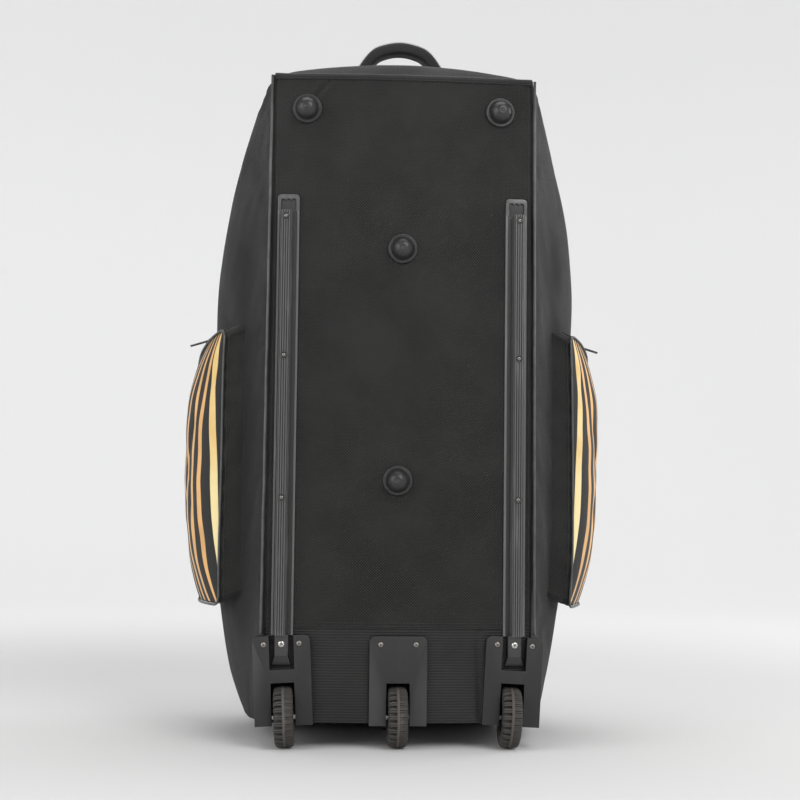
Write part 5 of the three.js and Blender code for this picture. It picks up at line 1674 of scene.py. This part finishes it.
def gusset(name, way, outline, out):
    """The gusset, and a rolled seam where it meets the bag."""
    s = settings().shell
    shares = np.concatenate([[0, 0.03], np.linspace(0.06, 0.94, 24), [0.97, 1]])
    points, _ = gusset_points(way, outline, shares, GUSSET_PUFF)
    sheet = cloth_grid(f"gusset_cloth_{name}", points + origin(), FINISHES["gusset"], loop=True, flip=way < 0,
                       slot="gusset_weave", replaces=(f"pocket_gusset_{name}",))
    settled(sheet, edge_mask_round(len(outline), len(shares)), s.buckle * 1.3, pressure=0.5, cap=0.0035,
            bending=0.25)
    thickened(sheet, s.cloth_wall)
    root, _ = gusset_points(way, outline, [0.045])
    path = root[:, 0] + np.stack([0 * out[:, 0], out[:, 0] * 0.0009, out[:, 1] * 0.0009], -1)
    tube(f"gusset_seam_{name}", path + origin(), 0.0024, 10, FINISHES["gusset"], closed=True,
         up=(way, 0.01, 0), slot="gusset_weave")


def striped_panel(name, way, outline, out):
    """The stuffed panel with its stripes, and the piping round it."""
    p = settings().pocket
    rim, _ = gusset_points(way, outline, [1])
    rim = rim[:, 0]
    rings = np.concatenate([np.linspace(1, 0.9, 9), np.linspace(0.86, 0.06, 26)])
    points = panel_points(way, rim, rings)
    points[..., 0] += way * 0.0016 * ripple(points, 24, 31 + way) * np.sin(np.pi * rings)[None, :]
    panel = cloth_grid(f"panel_cloth_{name}", points + origin(), FINISHES["striped"], loop=True, flip=way > 0,
                       slot="striped_cloth", replaces=(f"pocket_panel_{name}",))
    close_pole(panel, way)
    add_print(panel)
    thickened(panel, settings().shell.cloth_wall)
    path = rim.copy()
    path[:, 0] += way * 0.0014
    path[:, 1:] += out * (p.piping + 0.0002)
    tube(f"panel_piping_{name}", path + origin(), p.piping, 10, FINISHES["piping"], closed=True,
         up=(way, 0.01, 0), slot="pocket_piping", replaces=(f"pocket_piping_{name}",))


def gusset_line(way, outline, share, outward, lift):
    """A line along the gusset, lifted off its cloth."""
    points, _ = gusset_points(way, outline, [share], GUSSET_PUFF)
    return points[:, 0] + origin() + outward * lift


def gusset_stitches(name, way, outline, outward):
    """Stitches on the gusset's front beside the panel, and all round beside the bag."""
    p = settings().pocket
    front = (outline[:, 0] < p.front + 0.3 * (p.back - p.front)) | (outline[:, 1] < p.foot + 0.1 * p.height)
    keep = run_of(front)
    stitches(f"gusset_stitches_{name}", gusset_line(way, outline, 0.86, outward, 0.0006)[keep], outward[keep],
             slot="gusset_weave")
    stitches(f"root_stitches_{name}", gusset_line(way, outline, 0.14, outward, 0.0006), outward,
             slot="gusset_weave")


def pocket_zip(name, way, outline, marks, outward):
    """The zip on the gusset's outer half, round the back and the top, with its teeth and stitches."""
    p = settings().pocket
    run = np.arange(marks[0][1] + 12, marks[2][1] + 2)
    middle = slider_share(way, name, outline)
    half = min(p.zip_width / p.gusset_front / 2, 0.985 - middle)
    points, _ = gusset_points(way, outline, np.linspace(middle - half, middle + half, 9), GUSSET_PUFF)
    points = points[run] + outward[run][:, None] * 0.0008
    tape = cloth_grid(f"zip_tape_{name}", points + origin(), FINISHES["tape"], flip=way < 0, slot="zip_tape",
                      replaces=(f"pocket_zip_{name}",))
    thickened(tape, 0.0009)
    teeth(f"zip_teeth_{name}", gusset_line(way, outline, middle, outward, 0.0012)[run], outward[run],
          pitch=0.0028, size=(0.005, 0.0014))
    for k, share in enumerate((middle - half * 0.85, middle + half * 0.85)):
        stitches(f"zip_edge_{name}_{k + 1}", gusset_line(way, outline, share, outward, 0.0010)[run],
                 outward[run], slot="zip_tape")


def slider_share(way, name, outline):
    """Where across the gusset the pocket's slider stands, as a share of the gusset's width."""
    low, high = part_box(f"pocket_{name}_slider")
    middle = (np.array(low) + np.array(high)) / 2 - origin()
    points, _ = gusset_points(way, outline, [0, 1])
    near = np.argmin(np.linalg.norm(points[:, 1, 1:] - middle[1:], axis=1))
    share = (middle[0] - points[near, 0, 0]) / (points[near, 1, 0] - points[near, 0, 0])
    return float(np.clip(share, 0.4, 0.8))


def edge_mask_round(columns, rows):
    held = np.zeros((columns, rows), bool)
    held[:, [0, -1]] = True
    return held.ravel()


def run_of(there):
    """Indices of the longest run of true values round a loop."""
    count = len(there)
    start = next(k for k in range(count) if there[k] and not there[k - 1])
    run = []
    while there[(start + len(run)) % count] and len(run) < count:
        run.append((start + len(run)) % count)
    return np.array(run)


def close_pole(obj, way):
    """Closes the small hole in the middle of a bulging sheet with a fan."""
    with reshaped(obj) as shape:
        edges = [e for e in shape.edges if e.is_boundary]
        far = max(abs(e.verts[0].co.x) for e in edges)
        ring = [e for e in edges if abs(e.verts[0].co.x) > far - 0.006]
        made = bmesh.ops.holes_fill(shape, edges=ring, sides=0)["faces"]
        bmesh.ops.poke(shape, faces=made)
        bmesh.ops.recalc_face_normals(shape, faces=shape.faces)
        middle = max(shape.faces, key=lambda f: abs(f.calc_center_median().x))
        if middle.normal.x * way < 0:
            bmesh.ops.reverse_faces(shape, faces=shape.faces)
    return smoothed(obj)


def pockets():
    for name, way in WAYS:
        pocket(name, way)


# Handle and the main zip's pull

def handle():
    """A padded loop of webbing with its feet sewn to patches on the top end, and the main zip's pull."""
    low, high = (np.array(corner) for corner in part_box("top_handle"))
    centre, reach = (low + high) / 2, (high - low) / 2
    line, out = handle_arch(low, high)
    handle_grip(centre, reach, line, out)
    handle_stitches(centre, reach, line, out)
    for name, _ in WAYS:
        sewn_patch(name)
    copied("main_slider", "main_zip_slider", FINISHES["black_metal"], METAL_BEVEL, "zip_metal")
    copied("main_tab", "main_zip_tab", FINISHES["black_metal"], METAL_BEVEL, "zip_metal",
           body="main_zip_pull")


def handle_arch(low, high):
    """The arch's middle line, as place across and height, and the way out at each of its points."""
    h = settings().handle
    foot, crown = low[2], high[2] + h.lift
    half = (high[0] - low[0]) / 2 - h.wall / 2
    rise = ((-half, foot), (-half, foot + 0.005), (-half * 0.86, foot + 0.023),
            (-half * 0.58, crown - 0.0185), (-half * 0.29, crown - h.wall / 2 - 0.0025),
            (0, crown - h.wall / 2))
    arch = np.vstack([rise, [(-x, z) for x, z in rise[-2::-1]]])
    line = through(np.c_[arch, np.zeros(len(arch))], 12)[:, :2]
    along = unit(np.gradient(line, axis=0))
    return line, np.stack([-along[:, 1], along[:, 0]], -1)


def handle_grip(centre, reach, line, out):
    """The padded grip: a flat, rounded section, a little lumpy, and pressed at its two feet."""
    angle = np.linspace(0, 2 * np.pi, 33)
    flatness, roundness = 0.42, 0.62
    across = np.sign(np.cos(angle)) * np.abs(np.cos(angle)) ** flatness * reach[1] * 0.985
    thick = np.sign(np.sin(angle)) * np.abs(np.sin(angle)) ** roundness * settings().handle.wall / 2
    span = np.linspace(0, 1, len(line))
    lumps = 1 + 0.03 * ripple(np.c_[line, np.zeros(len(line))], 55, 41)
    lumps = np.where((span < 0.06) | (span > 0.94), 0.97, lumps)[:, None]
    points = np.stack([centre[0] + line[:, :1] + out[:, :1] * thick * lumps,
                       np.broadcast_to(centre[1] + across, (len(line), len(angle))),
                       line[:, 1:] + out[:, 1:] * thick * lumps], -1)
    grip = cloth_grid("handle_grip", points, FINISHES["webbing"], slot="webbing", replaces=("top_handle",))
    edged(filled(merged(grip)), 50)


def handle_stitches(centre, reach, line, out):
    """A row of stitches along each edge of the grip."""
    lift = settings().handle.wall / 2 * 0.93
    for k, side in enumerate((-1, 1)):
        edge = np.stack([centre[0] + line[:, 0] + out[:, 0] * lift,
                         np.full(len(line), centre[1] + side * reach[1] * 0.8),
                         line[:, 1] + out[:, 1] * lift], -1)
        stitches(f"handle_stitches_{k + 1}", edge[6:-6], np.c_[out[:, 0], 0 * out[:, 0], out[:, 1]][6:-6],
                 slot="webbing")


def sewn_patch(name):
    """One patch under the handle's foot, with a box of stitches."""
    copied(f"sewn_patch_{name}", f"handle_patch_{name}", FINISHES["webbing"], 0.0006, "webbing")
    low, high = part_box(f"handle_patch_{name}")
    inset = 0.003
    x0, x1, y0, y1 = low[0] + inset, high[0] - inset, low[1] + inset, high[1] - inset
    box = np.array([(x0, y0), (x1, y0), (x1, y1), (x0, y1), (x0, y0)])
    path = np.vstack([np.linspace(a, b, 12)[:-1] for a, b in zip(box, box[1:])])
    path = np.c_[path, np.full(len(path), high[2] + 0.0001)]
    stitches(f"patch_stitches_{name}", path, (0, 0, 1), slot="webbing")


# Stage

# The bowl's profile as radius and height, and the lights: name, place, size and power.
BOWL = ((0.01, 0.0), (2.6, 0.0), (3.0, 0.03), (3.4, 0.14), (3.75, 0.36), (4.05, 0.72), (4.25, 1.2),
        (4.35, 1.9), (4.38, 3.6))
BOWL_SIDES = 96
LIGHTS = (
    ("key", (1.2, -2.4, 2.2), 1.6, 42), ("fill", (-2.0, -1.7, 1.2), 1.8, 22),
    ("rim", (2.3, 0.7, 1.3), 1.2, 14), ("top", (0, 0.4, 2.8), 2.2, 34),
)
LIGHTS_AIM = (0, 0, 0.45)
STUDIO_GREY = (0.36, 0.36, 0.36, 1)


def build_stage():
    """Floor and backdrop in one bowl, four soft lights and the camera."""
    backdrop_bowl()
    soft_lights()
    studio_camera()
    bpy.context.scene.view_settings.view_transform = "Standard"


def staged(name, data):
    obj = bpy.data.objects.new(name, data)
    bpy.context.scene.collection.objects.link(obj)
    return obj


def backdrop_bowl():
    rows = through(np.c_[BOWL, np.zeros(len(BOWL))], 6)
    angle = np.linspace(0, 2 * np.pi, BOWL_SIDES, endpoint=False)[:, None]
    points = np.stack([rows[:, 0] * np.cos(angle), rows[:, 0] * np.sin(angle),
                       np.broadcast_to(rows[:, 1], (BOWL_SIDES, len(rows)))], -1)
    faces, _ = grid_faces(BOWL_SIDES, len(rows), True)
    middle = tuple(range(0, BOWL_SIDES * len(rows), len(rows)))
    mesh = bpy.data.meshes.new("backdrop")
    mesh.from_pydata([tuple(p) for p in points.reshape(-1, 3)], [],
                     [tuple(int(i) for i in f) for f in faces] + [middle])
    mesh.materials.append(FINISHES["backdrop"])
    smoothed(staged("backdrop", mesh))


def soft_lights():
    for name, place, size, power in LIGHTS:
        light = bpy.data.lights.new(name, "AREA")
        light.shape, light.size, light.energy = "SQUARE", size, power
        lamp = staged(name, light)
        lamp.location = place
        lamp.rotation_euler = (Vector(LIGHTS_AIM) - Vector(place)).to_track_quat("-Z", "Y").to_euler()
    world = bpy.data.worlds.new("studio")
    world.use_nodes = True
    world.node_tree.nodes["Background"].inputs["Color"].default_value = STUDIO_GREY
    bpy.context.scene.world = world


def studio_camera():
    """The camera at the photograph's viewing angle."""
    g = settings().stage
    o = origin()
    aim = Vector((g.aim_across, 0, g.aim_height)) + Vector((o[0], o[1], 0))
    lift = g.height - g.aim_height
    flat = math.sqrt(g.distance ** 2 - lift ** 2)
    eye = aim + Vector((-flat * math.sin(g.azimuth), -flat * math.cos(g.azimuth), lift))
    camera = bpy.data.cameras.new("camera")
    camera.lens, camera.sensor_width, camera.sensor_fit = g.lens, 36, "HORIZONTAL"
    camera.clip_start, camera.clip_end = 0.05, 30
    view = staged("camera", camera)
    view.matrix_world = (Matrix.Translation(eye) @ (aim - eye).to_track_quat("-Z", "Y").to_matrix().to_4x4()
                         @ Matrix.Rotation(g.roll, 4, "Z"))
    bpy.context.scene.camera = view


# Operators and panel

class KITBAG_OT_finishes(bpy.types.Operator):
    """Makes the cloth, plastic, rubber and steel finishes."""
    bl_idname = "kit_bag.finishes"
    bl_label = "Finishes"
    bl_options = {"REGISTER", "UNDO"}

    def execute(self, context):
        make_finishes()
        return {"FINISHED"}


class KITBAG_OT_shell(bpy.types.Operator):
    """Builds the sides, the lid and the main zip."""
    bl_idname = "kit_bag.shell"
    bl_label = "Sides, lid and main zip"
    bl_options = {"REGISTER", "UNDO"}

    def execute(self, context):
        shell_panels()
        return {"FINISHED"}


class KITBAG_OT_base(bpy.types.Operator):
    """Builds the base's weave, kick panel, binding, seams and piping."""
    bl_idname = "kit_bag.base"
    bl_label = "Base"
    bl_options = {"REGISTER", "UNDO"}

    def execute(self, context):
        base_cloths()
        return {"FINISHED"}


class KITBAG_OT_ends(bpy.types.Operator):
    """Builds the crowned panels that close the bag's ends."""
    bl_idname = "kit_bag.ends"
    bl_label = "Ends"
    bl_options = {"REGISTER", "UNDO"}

    def execute(self, context):
        end_panels()
        return {"FINISHED"}


class KITBAG_OT_gear(bpy.types.Operator):
    """Builds the runners, brackets, wheels and their screws."""
    bl_idname = "kit_bag.gear"
    bl_label = "Runners and wheels"
    bl_options = {"REGISTER", "UNDO"}

    def execute(self, context):
        running_gear()
        return {"FINISHED"}


class KITBAG_OT_studs(bpy.types.Operator):
    """Builds the four base studs."""
    bl_idname = "kit_bag.studs"
    bl_label = "Base studs"
    bl_options = {"REGISTER", "UNDO"}

    def execute(self, context):
        studs()
        return {"FINISHED"}


class KITBAG_OT_pockets(bpy.types.Operator):
    """Builds the two side pockets with their stripes, zips and pulls."""
    bl_idname = "kit_bag.pockets"
    bl_label = "Pockets"
    bl_options = {"REGISTER", "UNDO"}

    def execute(self, context):
        pockets()
        return {"FINISHED"}


class KITBAG_OT_handle(bpy.types.Operator):
    """Builds the padded handle, its patches and the main zip's pull."""
    bl_idname = "kit_bag.handle"
    bl_label = "Handle"
    bl_options = {"REGISTER", "UNDO"}

    def execute(self, context):
        handle()
        return {"FINISHED"}


class KITBAG_OT_stage(bpy.types.Operator):
    """Builds the floor, backdrop, lights and camera."""
    bl_idname = "kit_bag.stage"
    bl_label = "Stage"
    bl_options = {"REGISTER", "UNDO"}

    def execute(self, context):
        build_stage()
        return {"FINISHED"}


STEPS = (KITBAG_OT_finishes, KITBAG_OT_shell, KITBAG_OT_base, KITBAG_OT_ends,
         KITBAG_OT_gear, KITBAG_OT_studs, KITBAG_OT_pockets, KITBAG_OT_handle,
         KITBAG_OT_stage)


class KITBAG_PT_panel(bpy.types.Panel):
    """Sizes, colours and the building steps."""
    bl_idname = "KITBAG_PT_panel"
    bl_label = "Wheeled kit bag"
    bl_space_type = "VIEW_3D"
    bl_region_type = "UI"
    bl_category = "Kit bag"

    def draw(self, context):
        bag = context.scene.kit_bag
        for key in GROUPS:
            box = self.layout.box()
            box.label(text=key.capitalize())
            group = getattr(bag, key)
            for name in GROUPS[key].__annotations__:
                box.prop(group, name)
        for operator in STEPS:
            self.layout.operator(operator.bl_idname)


CLASSES = (*GROUPS.values(), KitBagSettings, *STEPS, KITBAG_PT_panel)


def register():
    for item in CLASSES:
        bpy.utils.register_class(item)
    bpy.types.Scene.kit_bag = PointerProperty(type=KitBagSettings)


def unregister():
    del bpy.types.Scene.kit_bag
    for item in reversed(CLASSES):
        bpy.utils.unregister_class(item)


def main():
    register()
    for operator in STEPS:
        getattr(bpy.ops.kit_bag, operator.bl_idname.split(".")[1])()


if __name__ == "__main__":
    main()
